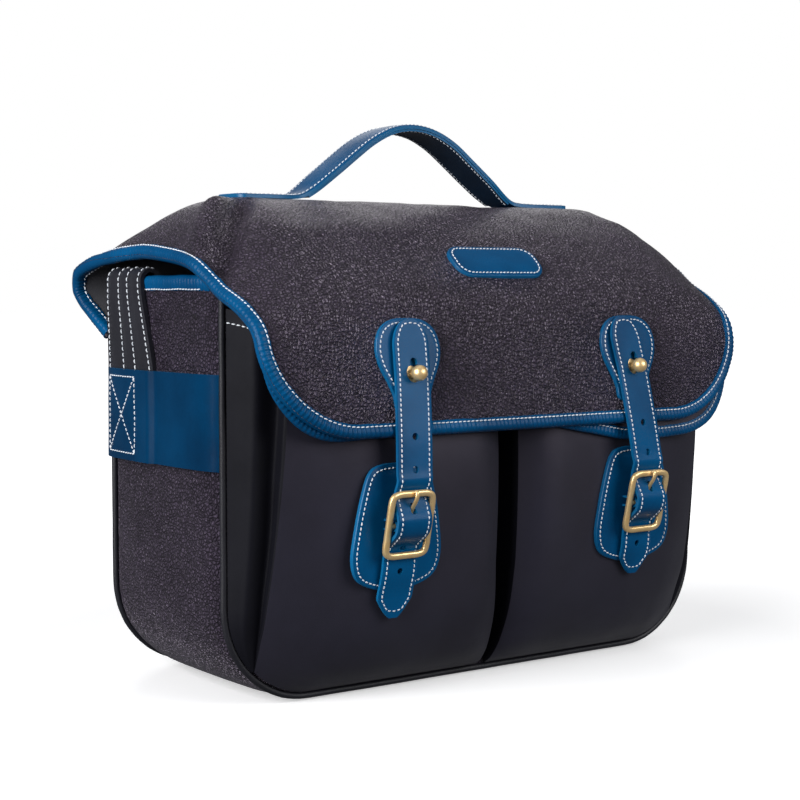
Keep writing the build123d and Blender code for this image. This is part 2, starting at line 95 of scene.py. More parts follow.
def ramp(tree, value, stops):
    node = tree.nodes.new("ShaderNodeValToRGB")
    node.color_ramp.elements[0].position = stops[0][0]
    node.color_ramp.elements[0].color = (*stops[0][1], 1)
    node.color_ramp.elements[1].position = stops[-1][0]
    node.color_ramp.elements[1].color = (*stops[-1][1], 1)
    for position, colour in stops[1:-1]:
        node.color_ramp.elements.new(position).color = (*colour, 1)
    tree.links.new(value, node.inputs["Fac"])
    return node.outputs["Color"]


def bump(tree, shader, height, distance, strength):
    node = tree.nodes.new("ShaderNodeBump")
    node.inputs["Distance"].default_value = distance
    node.inputs["Strength"].default_value = strength
    tree.links.new(height, node.inputs["Height"])
    tree.links.new(node.outputs["Normal"], shader.inputs["Normal"])


def leather(name, dark, light, roughness, grain, depth, pebbled, sheen=0.0, specular=0.5):
    """Leather: pebbles or fine pores, wrinkles, mottled colour with painted shade in the grooves, and worn,
    shinier high spots.
    """
    material, tree, shader = new_material(name, light, roughness)
    shader.inputs["Specular IOR Level"].default_value = specular
    shader.inputs["Sheen Weight"].default_value = sheen
    shader.inputs["Sheen Roughness"].default_value = 0.5
    place = tree.nodes.new("ShaderNodeTexCoord").outputs["Object"]
    warp = texture(tree, "ShaderNodeTexNoise", grain * 0.35, place, Detail=2.0)
    mixed = tree.nodes.new("ShaderNodeMix")
    mixed.data_type = "VECTOR"
    mixed.inputs["Factor"].default_value = 0.0016 if pebbled > 0.5 else 0.001
    tree.links.new(place, mixed.inputs[4])
    tree.links.new(warp.outputs["Color"], mixed.inputs[5])
    cells = texture(tree, "ShaderNodeTexVoronoi", grain, mixed.outputs[1], feature="DISTANCE_TO_EDGE")
    fine = texture(tree, "ShaderNodeTexNoise", grain * 2.3, place, Detail=3.0, Roughness=0.6)
    broad = texture(tree, "ShaderNodeTexNoise", 16.0, place, Detail=4.0, Roughness=0.55)
    each = texture(tree, "ShaderNodeTexVoronoi", grain, mixed.outputs[1], feature="F1")
    pebble = stretch(tree, cells.outputs["Distance"], 0.0, 0.3, 0.0, 1.0 if pebbled > 0.5 else 0.45)
    if pebbled > 0.5:
        pebble = sum_of(tree, pebble, stretch(tree, each.outputs["Color"], 0.0, 1.0, 0.0, 0.7))
    height = sum_of(tree, pebble, stretch(tree, fine.outputs["Fac"], 0.3, 0.7, 0.0, 0.35))
    height = sum_of(tree, height, stretch(tree, broad.outputs["Fac"], 0.3, 0.7, 0.0, 0.5))
    bump(tree, shader, height, depth, 0.8)
    # Colour: broad mottling and a random tone for each pebble, with painted shade darkening the grooves
    # between pebbles.
    tone_and_painted_shade = sum_of(
        tree,
        stretch(tree, broad.outputs["Fac"], 0.35, 0.65, 0.0, 1.0 - pebbled),
        stretch(tree, cells.outputs["Distance"], 0.02, 0.22, 0.0, pebbled * 0.6),
    )
    tone_and_painted_shade = sum_of(tree, tone_and_painted_shade, stretch(tree, each.outputs["Color"], 0.1, 0.9, 0.0, pebbled * 0.4))
    tree.links.new(ramp(tree, tone_and_painted_shade, [(0.1, dark), (0.9, light)]), shader.inputs["Base Color"])
    tree.links.new(
        stretch(tree, tone_and_painted_shade, 0.0, 1.0, roughness + 0.08, roughness - 0.06), shader.inputs["Roughness"]
    )
    return material


# name, dark and light colour, roughness, pores per metre, relief in metres, how pebbled, sheen, specular
LEATHERS = [
    ("charcoal_pebbled", (0.002, 0.0014, 0.0026), (0.080, 0.062, 0.096), 0.31, 430.0, 0.0045, 0.85, 0.0, 0.75),
    ("smooth_black", (0.0085, 0.0085, 0.0150), (0.0150, 0.0150, 0.0250), 0.5, 1500.0, 0.00006, 0.3, 0.05, 0.3),
    ("blue_leather", (0.0002, 0.040, 0.115), (0.0005, 0.075, 0.200), 0.3, 1300.0, 0.00005, 0.3, 0.0, 0.08),
    ("blue_band", (0.0001, 0.016, 0.048), (0.0002, 0.032, 0.088), 0.34, 900.0, 0.00005, 0.3, 0.0, 0.06),
    # Near-black leather for the pocket bellows: a darker copy of the black leather, its darkness painted shade
    # of their deep folds.
    ("fold_painted_shade_black", (0.0030, 0.0030, 0.0055), (0.0055, 0.0055, 0.0095), 0.6, 1500.0, 0.00006, 0.3, 0.0, 0.12),
    # Brighter, glossier blue for cut edges and rims: edge paint, made brighter as a painted highlight along
    # the rounded edges.
    ("blue_rim_paint_and_highlight", (0.002, 0.075, 0.19), (0.004, 0.12, 0.28), 0.28, 900.0, 0.00004, 0.3, 0.0, 0.3),
    ("dark_blue_under", (0.001, 0.010, 0.028), (0.002, 0.020, 0.050), 0.55, 1300.0, 0.0001, 0.3, 0.0, 0.3),
    ("black_strap", (0.008, 0.008, 0.011), (0.016, 0.016, 0.022), 0.42, 1100.0, 0.00012, 0.3, 0.0, 0.3),
]
(
    charcoal, smooth_black, blue, band_blue, shadow_black, rim_paint_and_highlight, dark_blue, strap_black,
) = (leather(*row) for row in LEATHERS)
VIOLET_TINT = (0.95, 0.84, 1.0, 1.0)
for skin, socket, value in (
    (blue, "Coat Weight", 0.06), (blue, "Coat Roughness", 0.16),
    (charcoal, "Specular Tint", VIOLET_TINT), (smooth_black, "Specular Tint", VIOLET_TINT),
):
    skin.node_tree.nodes["Principled BSDF"].inputs[socket].default_value = value


def woven(name, dark, light):
    """Twill: two crossed bands of threads, with lint, uneven dye and painted shade between the threads."""
    material, tree, shader = new_material(name, light, 0.85)
    shader.inputs["Sheen Weight"].default_value = 0.25
    place = tree.nodes.new("ShaderNodeTexCoord").outputs["Object"]
    warp = texture(tree, "ShaderNodeTexWave", 700.0, place, bands_direction="DIAGONAL", Distortion=0.6)
    weft = texture(tree, "ShaderNodeTexWave", 420.0, place, bands_direction="Z", Distortion=0.4)
    dye = texture(tree, "ShaderNodeTexNoise", 30.0, place, Detail=5.0)
    height = sum_of(tree, warp.outputs["Fac"], stretch(tree, weft.outputs["Fac"], 0.0, 1.0, 0.0, 0.6))
    bump(tree, shader, height, 0.00025, 0.6)
    # Colour: darker where the threads lie low, which is painted shade between them, plus uneven dye.
    tone_and_painted_shade = sum_of(
        tree,
        stretch(tree, height, 0.0, 1.6, 0.0, 0.5),
        stretch(tree, dye.outputs["Fac"], 0.35, 0.65, 0.0, 0.5),
    )
    tree.links.new(ramp(tree, tone_and_painted_shade, [(0.0, dark), (1.0, light)]), shader.inputs["Base Color"])
    return material


lining_cloth = woven("lining_twill", (0.006, 0.006, 0.009), (0.02, 0.02, 0.028))


def thread_material():
    """Waxed white thread with a twist along it, painted shade in the twist's grooves and soiled patches."""
    material, tree, shader = new_material("white_thread", (0.75, 0.77, 0.8), 0.55)
    shader.inputs["Sheen Weight"].default_value = 0.3
    place = tree.nodes.new("ShaderNodeTexCoord").outputs["Object"]
    twist = texture(tree, "ShaderNodeTexWave", 1100.0, place, bands_direction="DIAGONAL", Distortion=1.0)
    soil = texture(tree, "ShaderNodeTexNoise", 60.0, place, Detail=3.0)
    bump(tree, shader, twist.outputs["Fac"], 0.00008, 0.5)
    # Colour: darker in the grooves of the twist, which is painted shade, and in random soiled patches.
    tone_and_painted_shade = sum_of(
        tree,
        stretch(tree, twist.outputs["Fac"], 0.0, 1.0, 0.0, 0.3),
        stretch(tree, soil.outputs["Fac"], 0.3, 0.7, 0.0, 0.7),
    )
    colours = [(0.0, (0.52, 0.56, 0.62)), (1.0, (0.80, 0.83, 0.88))]
    tree.links.new(ramp(tree, tone_and_painted_shade, colours), shader.inputs["Base Color"])
    return material


def brass_material():
    """Satin brass, brushed, with tarnish in patches."""
    material, tree, shader = new_material("satin_brass", (0.72, 0.5, 0.22), 0.27)
    shader.inputs["Metallic"].default_value = 0.72
    place = tree.nodes.new("ShaderNodeTexCoord").outputs["Object"]
    patches = texture(tree, "ShaderNodeTexNoise", 180.0, place, Detail=5.0)
    brushed = texture(tree, "ShaderNodeTexNoise", 2600.0, place, Detail=2.0)
    colours = [(0.3, (0.84, 0.56, 0.24)), (0.7, (0.98, 0.72, 0.38))]
    tree.links.new(ramp(tree, patches.outputs["Fac"], colours), shader.inputs["Base Color"])
    tree.links.new(stretch(tree, patches.outputs["Fac"], 0.3, 0.7, 0.42, 0.3), shader.inputs["Roughness"])
    bump(tree, shader, brushed.outputs["Fac"], 0.00003, 0.35)
    return material


thread = thread_material()
brass = brass_material()

# ---- mesh making


def unit(v):
    return v / np.maximum(np.linalg.norm(v, axis=-1, keepdims=True), 1e-9)


def curve(points, k):
    """Smooth curve through points: k is the point's number, with fractions between them."""
    points = np.asarray(points, float)
    ends = np.vstack([2 * points[0] - points[1], points, 2 * points[-1] - points[-2]])
    k = np.clip(np.asarray(k, float), 0, len(points) - 1)
    i = np.minimum(k.astype(int), len(points) - 2)
    t = (k - i)[..., None]
    a, b, c, d = ends[i], ends[i + 1], ends[i + 2], ends[i + 3]
    return 0.5 * (2 * b + (c - a) * t + (2 * a - 5 * b + 4 * c - d) * t**2 + (3 * b - a - 3 * c + d) * t**3)


def distances(path):
    """How far along a line each of its points is."""
    return np.concatenate([[0], np.cumsum(np.linalg.norm(np.diff(path, axis=0), axis=1))])


def read_at(where, along, values):
    """Rows of values at distances along a line."""
    return np.stack([np.interp(where, along, values[:, i]) for i in range(values.shape[1])], axis=1)


def even(path, spacing):
    """The same line with its points the same distance apart."""
    path = np.asarray(path, float)
    along = distances(path)
    count = max(int(round(along[-1] / spacing)), 2)
    steps = np.linspace(0, along[-1], count + 1)
    return read_at(steps, along, path)


def waves(points, size, seed):
    """Smooth unevenness between about -1 and 1, the size of its lumps in millimetres."""
    flat = np.asarray(points, float).reshape(-1, 3) / size + seed
    values = np.array([noise.noise(Vector(p)) for p in flat])
    return values.reshape(np.asarray(points).shape[:-1])


def grid_faces(rows, columns, start=0, closed=False):
    numbers = start + np.arange(rows * columns).reshape(rows, columns)
    if closed:
        numbers = np.concatenate([numbers, numbers[:, :1]], axis=1)
    a, b, c, d = numbers[:-1, :-1], numbers[1:, :-1], numbers[1:, 1:], numbers[:-1, 1:]
    return np.stack([a, b, c, d], axis=-1).reshape(-1, 4).tolist()


def surface_normals(grid):
    return unit(np.cross(np.gradient(grid, axis=0), np.gradient(grid, axis=1)))


def facing(normal, where, side):
    """Normals, turned over if the one at where (row, column, axis) points away from side."""
    return -normal if normal[where] * side < 0 else normal


def spread(x, y, z):
    """Grid of points from coordinates that vary by row, by column or not at all."""
    return np.stack(np.broadcast_arrays(x, y, z), axis=-1)


def shell(grid, near, far, normal=None):
    """Closed sheet of material: the grid moved along its normals by near and by far."""
    normal = surface_normals(grid) if normal is None else normal
    rows, columns = grid.shape[:2]
    near = np.broadcast_to(near, (rows, columns))[..., None]
    far = np.broadcast_to(far, (rows, columns))[..., None]
    count = rows * columns
    vertices = np.concatenate([(grid + normal * near).reshape(-1, 3), (grid + normal * far).reshape(-1, 3)])
    faces = grid_faces(rows, columns) + [f[::-1] for f in grid_faces(rows, columns, count)]
    numbers = np.arange(count).reshape(rows, columns)
    loop = np.concatenate([numbers[:-1, 0], numbers[-1, :-1], numbers[:0:-1, -1], numbers[0, :0:-1]])
    rim = [[q, p, p + count, q + count] for p, q in zip(loop, np.roll(loop, -1))]
    return vertices, faces + rim, [0] * len(faces) + [1] * len(rim)


def sweep(path, side, up, section, closed=False):
    """Solid with one section, or one section for each point, carried along a path."""
    section = np.asarray(section, float)
    if section.ndim == 2:
        section = np.broadcast_to(section, (len(path), *section.shape))
    rings = path[:, None] + side[:, None] * section[..., :1] + up[:, None] * section[..., 1:]
    count = section.shape[1]
    faces = grid_faces(len(path), count, closed=True)
    last = (len(path) - 1) * count
    if closed:
        faces += [[last + i, i, (i + 1) % count, last + (i + 1) % count] for i in range(count)]
    else:
        faces += [list(range(count))[::-1], [last + i for i in range(count)]]
    return rings.reshape(-1, 3), faces, [0] * len(faces)


def oval(width, height, count=14, square=2.0):
    """Section of a rod: square 2 is an ellipse, and more makes it boxier."""
    angle = np.linspace(0, 2 * math.pi, count, endpoint=False)
    c, s = np.cos(angle), np.sin(angle)
    power = 2 / square
    return np.stack(
        [width / 2 * np.sign(c) * np.abs(c) ** power, height / 2 * np.sign(s) * np.abs(s) ** power], axis=1
    )


def rod(path, width, height, towards, closed=False, count=14, square=2.0):
    """Bar along a path, with its width across towards and its height along it."""
    path = np.asarray(path, float)
    if closed:
        tangent = unit(np.roll(path, -1, axis=0) - np.roll(path, 1, axis=0))
    else:
        tangent = unit(np.gradient(path, axis=0))
    side = unit(np.cross(tangent, np.broadcast_to(towards, path.shape)))
    return sweep(path, side, np.cross(side, tangent), oval(width, height, count, square), closed)


RIB_SPACING = 3.2          # one pucker to a stitch


def edging(path, normal, out, width, over, under, seed, pucker=0.35):
    """Leather folded over an edge: width on both faces, over and under the sheet, puckered where sewn."""
    along = distances(path)
    steps = np.linspace(0, along[-1], int(along[-1] / 0.7))
    path, normal, out = (read_at(steps, along, values) for values in (path, normal, out))
    lumps = 0.6 * waves(path, 9.0, seed) + 0.7 * waves(path, 4.5, seed + 9)
    swell = 1 + 0.25 * lumps
    section = np.array([
        (-1.0, 0.0), (-0.97, 0.75), (-0.8, 1.0), (-0.55, 1.12), (-0.3, 1.2), (-0.1, 0.95), (0.02, 0.45),
        (0.05, 0.0), (0.02, -0.45), (-0.1, -0.95), (-0.3, -1.1), (-0.6, -1.05), (-0.97, -0.8), (-1.0, 0.0),
    ])
    outer = section[:, 1] >= 0
    sections = np.zeros((len(path), len(section), 2))
    sections[..., 0] = section[None, :, 0] * (width + pucker * lumps[:, None])
    middle = -(under - 1.0) / 2
    sections[..., 1] = np.where(
        outer, middle + section[:, 1] * (over - middle), middle + section[:, 1] * (under + middle)
    )
    face = (section[:, 1] > 0.7) | (section[:, 1] < -0.7)
    sections[..., 1] += np.where(face, np.sign(section[:, 1]), 0) * 1.3 * (swell[:, None] - 1)
    phase = 2 * math.pi * steps / RIB_SPACING + 0.8 * waves(path, 12.0, seed + 3)
    ribs = np.sin(phase) * (0.24 + 0.26 * waves(path, 45.0, seed + 5))
    sections[..., 1] += ribs[:, None] * np.sign(section[:, 1]) * np.where(face, 1.0, 0.35)
    return sweep(path, out, normal, sections)


def stitches(path, normal, pitch=3.2, length=2.4, radius=0.4, lift=0.2, slant=0.09):
    """Row of separate stitches that lie along a line on a surface."""
    path = np.asarray(path, float)
    normal = np.broadcast_to(normal, path.shape)
    along = distances(path)
    count = max(int(along[-1] / pitch), 1)
    middle = (np.arange(count) + 0.5) * along[-1] / count

    centre = read_at(middle, along, path)
    ahead = unit(read_at(middle + 0.4 * pitch, along, path) - read_at(middle - 0.4 * pitch, along, path))
    up = unit(read_at(middle, along, normal))
    across = unit(np.cross(up, ahead))
    ahead = unit(ahead + slant * across)
    across = unit(np.cross(up, ahead))
    steps = np.array([-0.5, -0.4, -0.18, 0.18, 0.4, 0.5])
    sizes = np.array([0.35, 0.85, 1.0, 1.0, 0.85, 0.35])
    turn = np.linspace(0, 2 * math.pi, 6, endpoint=False)
    local = np.array([
        (s * length, radius * r * math.cos(a), radius * r * math.sin(a) - 2.2 * radius * (2 * s) ** 4 * 0.5)
        for s, r in zip(steps, sizes) for a in turn
    ])
    vertices = (
        centre[:, None] + ahead[:, None] * local[None, :, :1] + across[:, None] * local[None, :, 1:2]
        + up[:, None] * (local[None, :, 2:] + lift)
    ).reshape(-1, 3)
    one = grid_faces(6, 6, closed=True) + [[5, 4, 3, 2, 1, 0], [30, 31, 32, 33, 34, 35]]
    faces = [[36 * i + v for v in f] for i in range(count) for f in one]
    return vertices, faces, [0] * len(faces)


def plate(outline, place, low, high, soft=0.7, rings=5):
    """Leather cut to a closed outline with softened edges, their rims a brighter blue that is edge paint and
    painted highlight. place(u, v, w) gives its points.
    """
    outline = np.asarray(outline, float)
    tangent = unit(np.roll(outline, -1, axis=0) - np.roll(outline, 1, axis=0))
    inward = np.stack([-tangent[:, 1], tangent[:, 0]], axis=1)
    middle = outline.mean(axis=0)
    if np.sum(inward * (middle - outline)) < 0:
        inward = -inward
    shrink = np.linspace(1, 0.02, rings + 1)[1:]
    layers = [(middle + (outline - middle) * s, low) for s in shrink[::-1]]
    layers += [(outline, low), (outline, low + 0.4 * (high - low)), (outline, high - soft)]
    layers += [(outline + inward * 0.35 * soft, high - 0.25 * soft), (outline + inward * soft, high)]
    layers += [(middle + (outline + inward * soft - middle) * s, high) for s in shrink]
    points = np.array([[place(u, v, w) for u, v in ring] for ring, w in layers])
    count = len(outline)
    faces = grid_faces(len(layers), count, closed=True)
    marks = np.zeros((len(layers) - 1, count), int)
    marks[rings:rings + 3] = 1
    last = (len(layers) - 1) * count
    faces += [list(range(count))[::-1], [last + i for i in range(count)]]
    return points.reshape(-1, 3), faces, marks.reshape(-1).tolist() + [0, 0]


def mirrored(half, steps=5):
    """Closed smooth outline from its right-hand half, given from top to bottom."""
    points = [(x, y) for x, y in half] + [(-x, y) for x, y in half[-2:0:-1]]
    loop = np.array(points[-2:] + points + points[:3], float)
    k = np.arange(2, len(points) + 2, 1 / steps)
    return curve(loop, k)


def inset(outline, distance):
    """Closed line a distance inside an outline."""
    outline = np.asarray(outline, float)
    tangent = unit(np.roll(outline, -1, axis=0) - np.roll(outline, 1, axis=0))
    inward = np.stack([-tangent[:, 1], tangent[:, 0]], axis=1)
    if np.sum(inward * (outline.mean(axis=0) - outline)) < 0:
        inward = -inward
    moved = outline + inward * distance
    return np.vstack([moved, moved[:1]])


def make(name, chunks, materials, sharp=50.0):
    """One object from pieces of mesh, in metres, with smooth shading between gentle angles."""
    chunks = chunks if isinstance(chunks, list) else [chunks]
    vertices, faces, marks = [], [], []
    for points, polygons, indices in chunks:
        start = sum(len(v) for v in vertices)
        vertices.append(np.asarray(points, float))
        faces += [[start + int(i) for i in f] for f in polygons]
        marks += list(indices)
    materials = materials if isinstance(materials, list) else [materials]
    mesh = bpy.data.meshes.new(name)
    mesh.from_pydata((np.concatenate(vertices) * MM).tolist(), [], faces)
    for material in materials:
        mesh.materials.append(material)
    mesh.polygons.foreach_set("material_index", np.minimum(marks, len(materials) - 1).astype(np.int32))
    shaper = bmesh.new()
    shaper.from_mesh(mesh)
    bmesh.ops.recalc_face_normals(shaper, faces=shaper.faces)
    shaper.to_mesh(mesh)
    shaper.free()
    mesh.shade_smooth()
    mesh.set_sharp_from_angle(angle=math.radians(sharp))
    piece = bpy.data.objects.new(name, mesh)
    bpy.context.scene.collection.objects.link(piece)
    return piece


def stand_for(piece, body, slot, *nodes):
    """A piece that rides on one body in place of CAD nodes."""
    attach(piece, body)
    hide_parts(*nodes)


def sew(name, rows, body):
    """A seam that rides on one body."""
    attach(make(name, rows, thread), body)


def sewn_patch(names, outline, face, low, high, margin, normal, body, node, **size):
    """Patch of blue leather laid on a surface, with a row of stitches inside its outline."""
    patch = make(names[0], plate(outline, face, low, high), [blue, rim_paint_and_highlight])
    stand_for(patch, body, "blue_leather", node)
    rim = inset(outline, margin)
    sew(names[1], stitches([face(u, v, high) for u, v in rim], normal, **size), body)


def cup(half, bottom, top, radius, spacing=4.0):
    """Line down one side, round a corner, along the bottom and up the other side, with outward normals."""
    turn = np.linspace(0, math.pi / 2, 16)
    left = np.stack([radius - half - radius * np.cos(turn), bottom + radius - radius * np.sin(turn)], axis=1)
    line = np.vstack([[(-half, top)], left, left[::-1] * (-1, 1), [(half, top)]])
    line = even(line, spacing)
    tangent = unit(np.gradient(line, axis=0))
    return line, np.stack([tangent[:, 1], -tangent[:, 0]], axis=1)


def columns(half, radius, middle=41, corner=12):
    """Columns across a cup shape: their x, and how far the rounded corners lift the lower edge."""
    angle = np.linspace(math.pi / 2, 0, corner, endpoint=False)
    x = half - radius + radius * np.sin(angle)
    lift = radius * (1 - np.cos(angle))
    across = np.linspace(radius - half, half - radius, middle)
    return np.concatenate([-x, across, x[::-1]]), np.concatenate([lift, 0 * across, lift[::-1]])


def edge_of(grid, normal):
    """Down one side of a grid, along its bottom and up the other, with normals and outward directions."""
    path = np.concatenate([grid[:-1, 0], grid[-1, :-1], grid[::-1, -1]])
    up = np.concatenate([normal[:-1, 0], normal[-1, :-1], normal[::-1, -1]])
    keep = np.concatenate([[True], np.linalg.norm(np.diff(path, axis=0), axis=1) > 1e-3])
    both = even(np.hstack([path[keep], up[keep]]), 2.5)
    path, up = both[:, :3], unit(both[:, 3:])
    tangent = unit(np.gradient(path, axis=0))
    out = unit(np.cross(tangent, up))
    centre = path.mean(axis=0)
    if np.sum(out * (path - centre)) < 0:
        out = -out
    return path, up, out


# ---- body: gusset, panels, piping, lining
HALF_WIDTH = 190.0
HALF_DEPTH = 66.0
CORNER = 60.0
GUSSET_TOP = 248.0
BACK_TOP = 254.0
FRONT_TOP = 240.0
PIPING_Y = 68.5
PIPING_INSET = 2.5


def side_swell(y, outward):
    """How far the gusset stands outside its flat shape: a soft belly, drawn in at the seams."""
    belly = 2.4 * outward**2 * np.cos(math.pi / 2 * np.minimum(np.abs(y) / HALF_DEPTH, 1)) ** 0.8
    return belly - 3.4 * (np.abs(y) / HALF_DEPTH) ** 9


line, outward = cup(HALF_WIDTH, 0, GUSSET_TOP, CORNER)
depth = np.linspace(-HALF_DEPTH, HALF_DEPTH, 45)
flat = spread(line[:, None, 0], depth[None], line[:, None, 1])
away = spread(outward[:, None, 0], np.zeros((len(line), 45)), outward[:, None, 1])
side_share = np.abs(away[..., 0])
creases = waves(flat * (1, 0.5, 1), 34.0, 3.1) * 1.6 + waves(flat, 15.0, 8.3) * 0.5
swell = side_swell(flat[..., 1], side_share)
swell = swell + creases * side_share**2 * (1 - (flat[..., 1] / HALF_DEPTH) ** 6)
gusset = make("gusset_leather", shell(flat + away * swell[..., None], 0.0, -2.6, away), charcoal)
stand_for(gusset, "bag", "charcoal_leather", "gusset")


def cup_sheet(half, bottom, top, radius, y, puff, seed, lumps=0.8, rows=40):
    """Sheet of leather in a cup shape at depth y, with a soft puff towards the outside."""
    x, lift = columns(half, radius)
    share = np.linspace(0, 1, rows)[:, None]
    z = top + (bottom + lift - top) * share
    grid = np.stack([np.broadcast_to(x, z.shape), np.full(z.shape, y), z], axis=-1)
    edge = np.clip(1 - np.abs(grid[..., 0]) / half, 0, 1) * np.clip((z - bottom) / 60, 0, 1)
    unevenness = lumps * waves(grid, 40.0, seed) * np.minimum(edge * 5, 1)
    grid[..., 1] += np.sign(y) * (puff * np.minimum(edge * 3, 1) ** 0.7 + unevenness)
    return grid


for name, side, top, puff, node in (
    ("front_panel_leather", -1, FRONT_TOP, 0.4, "front_panel"),
    ("back_panel_leather", 1, BACK_TOP, 3.0, "back_panel"),
):
    lumps = 0.3 if side < 0 else 1.2
    grid = cup_sheet(HALF_WIDTH - 5, 5, top, CORNER - 5, side * 69.0, puff, 5.0 + side, lumps)
    direction = np.broadcast_to((0.0, float(side), 0.0), grid.shape)
    panel = make(name, shell(grid, 0.0, -2.6, direction), charcoal)
    stand_for(panel, "bag", "charcoal_leather", node)

for name, y, top in (("front_piping", -PIPING_Y, FRONT_TOP), ("back_piping", PIPING_Y, BACK_TOP)):
    line, outward = cup(HALF_WIDTH - PIPING_INSET, PIPING_INSET, top, CORNER - PIPING_INSET)
    path = np.stack([line[:, 0], np.full(len(line), y), line[:, 1]], axis=1)
    sideways = np.stack([outward[:, 0], 0 * line[:, 0], outward[:, 1]], axis=1)
    path = path + sideways * 0.2 * waves(path, 20.0, 2.0)[:, None]
    piping = make(name + "_cord", rod(path, 4.0, 4.0, (0.0, 1.0, 0.0)), strap_black)
    stand_for(piping, "bag", "black_leather", name)

LINING_TOP = 238.0
line, outward = cup(186.4, 3.6, LINING_TOP, 56.4)
strip = spread(line[:, None, 0], np.linspace(-64.6, 64.6, 25)[None], line[:, None, 1])
inside = -spread(outward[:, None, 0], np.zeros((len(line), 25)), outward[:, None, 1])
lining_parts = [shell(strip + inside * (0.5 + 0.5 * waves(strip, 30.0, 1.0))[..., None], 0.9, 0.0, inside)]
for side in (-1, 1):
    grid = cup_sheet(186.0, 4.0, LINING_TOP, 56.0, side * 65.3, 0.0, 9.0 + side, 0.5)
    direction = np.broadcast_to((0.0, -float(side), 0.0), grid.shape)
    lining_parts.append(shell(grid, 0.9, 0.0, direction))
lining = make("lining_cloth", lining_parts, lining_cloth)
stand_for(lining, "bag", "lining_fabric", "lining")

# ---- bindings on the gussets, side bands and shoulder strap
STRAP_Y = 38.0
STRAP_SOLE = 3.0           # thickness of the shoulder strap
BAND_BOTTOM = 140.0
BAND_TOP = 196.0


def strap_half(z):
    """Half width of the shoulder strap: broad where it is sewn on, narrower above."""
    return 23.0 + 7.0 * np.clip((246 - z) / 50, 0, 1)


def strap_centre(z):
    return 38.0 - 5.0 * np.clip((246 - z) / 50, 0, 1)


def over_strap(y, z):
    """1 on the strap, 0 beside it, with a soft step."""
    t = np.clip((np.abs(y - strap_centre(z)) - strap_half(z)) / 6.0, 0, 1)
    return 1 - t * t * (3 - 2 * t)


for side, sign in SIDES:
    path = np.stack([np.full(60, sign * 188.5), np.linspace(-58, 64, 60), np.full(60, 253.0)], axis=1)
    path[:, 2] += 0.6 * waves(path, 14.0, 6.0 + sign)
    path[:, 0] += sign * (side_swell(path[:, 1], 1.0) + 0.4 * waves(path, 11.0, 4.0))
    up = np.broadcast_to((float(sign), 0.0, 0.0), path.shape)
    out = np.broadcast_to((0.0, 0.0, 1.0), path.shape)
    binding = make(f"gusset_edging_{side}", edging(path, up, out, 9.0, 2.0, 3.2, 7.0 + sign), [blue])
    stand_for(binding, "bag", "blue_leather", f"gusset_binding_{side}")
    row = path + (sign * 1.9, 0, -8.0)
    sew(f"gusset_stitching_{side}", stitches(row[4:-4], up[4:-4]), "bag")

    y = np.linspace(-67.5, 67.5, 70)
    z = np.linspace(BAND_BOTTOM, BAND_TOP, 24)
    gy, gz = np.meshgrid(y, z)
    gap = 0.3 + (STRAP_SOLE + 0.2) * over_strap(gy, gz)
    stand = HALF_WIDTH + side_swell(np.clip(gy, -HALF_DEPTH, HALF_DEPTH), 1.0) + gap
    grid = np.stack([sign * stand, gy, gz], axis=-1)
    grid[..., 0] += sign * (0.5 * waves(grid, 22.0, 12.0) + 0.5)
    direction = np.broadcast_to((float(sign), 0.0, 0.0), grid.shape)
    band = make(f"band_{side}", shell(grid, 2.4, 0.0, direction), [band_blue, rim_paint_and_highlight])
    stand_for(band, "bag", "blue_leather", f"side_band_{side}")

    def on_band(points, sign=sign):
        """Points (y, z) laid on the outside of the band."""
        points = even(points, 1.5)
        high = HALF_WIDTH + side_swell(points[:, 0], 1.0) + 0.3 + (STRAP_SOLE + 0.2) * over_strap(*points.T)
        place = np.stack([sign * high, points[:, 0], points[:, 1]], axis=1)
        place[:, 0] += sign * (0.5 * waves(place, 22.0, 12.0) + 2.9)
        return place

    corners = [(19, 144.5), (56, 144.5), (56, 191.5), (19, 191.5), (19, 144.5)]
    cross = [[(19, 144.5), (56, 191.5)], [(56, 144.5), (19, 191.5)]]
    rows = [stitches(on_band(corners[i:i + 2]), (sign, 0.0, 0.0)) for i in range(4)]
    rows += [stitches(on_band(part), (sign, 0.0, 0.0)) for part in cross]
    sew(f"band_stitching_{side}", rows, "bag")

# The shoulder strap runs up from under each band, over the gusset and down into the bag, where it
# lies folded.
FLOOR_LOW = 7.4
FOLD = 5.0
FOLD_REACH = 120.0
INSIDE_X = 182.6
OVER_Z = 251.0
INNER_CURVE = INSIDE_X - (HALF_WIDTH - CORNER)


def arc(centre, radius, start, stop, count=10):
    angle = np.radians(np.linspace(start, stop, count))
    return [(centre[0] + radius * math.cos(a), centre[1] + radius * math.sin(a)) for a in angle]


outside_run = [(-192.2, 143), (-192.6, 170), (-192.9, 200), (-193.8, 222), (-194.6, 238), (-194.6, 250)]
strap_line = outside_run + arc((-188.6, OVER_Z), 6.0, 180, 0, 12)
strap_line += [(-INSIDE_X, 220), (-INSIDE_X, 140), (-INSIDE_X, 80)]
strap_line += arc((-130, FLOOR_LOW + INNER_CURVE), INNER_CURVE, 180, 270, 14)
strap_line += [(0, FLOOR_LOW)] + arc((FOLD_REACH, FLOOR_LOW + FOLD), FOLD, -90, 90, 9)
strap_line += [(0, FLOOR_LOW + 2 * FOLD)] + arc((-FOLD_REACH, FLOOR_LOW + 3 * FOLD), FOLD, 270, 90, 9)
top_fold = FLOOR_LOW + 4 * FOLD
strap_line += [(0, top_fold)] + arc((130, top_fold + INNER_CURVE), INNER_CURVE, -90, 0, 14)
strap_line += [(INSIDE_X, 140), (INSIDE_X, 220)] + arc((188.6, OVER_Z), 6.0, 180, 0, 12)
strap_line += [(-x, z) for x, z in outside_run[::-1]]
line = even(strap_line, 3.0)
outer_run = np.abs(line[:, 0]) > 191.0
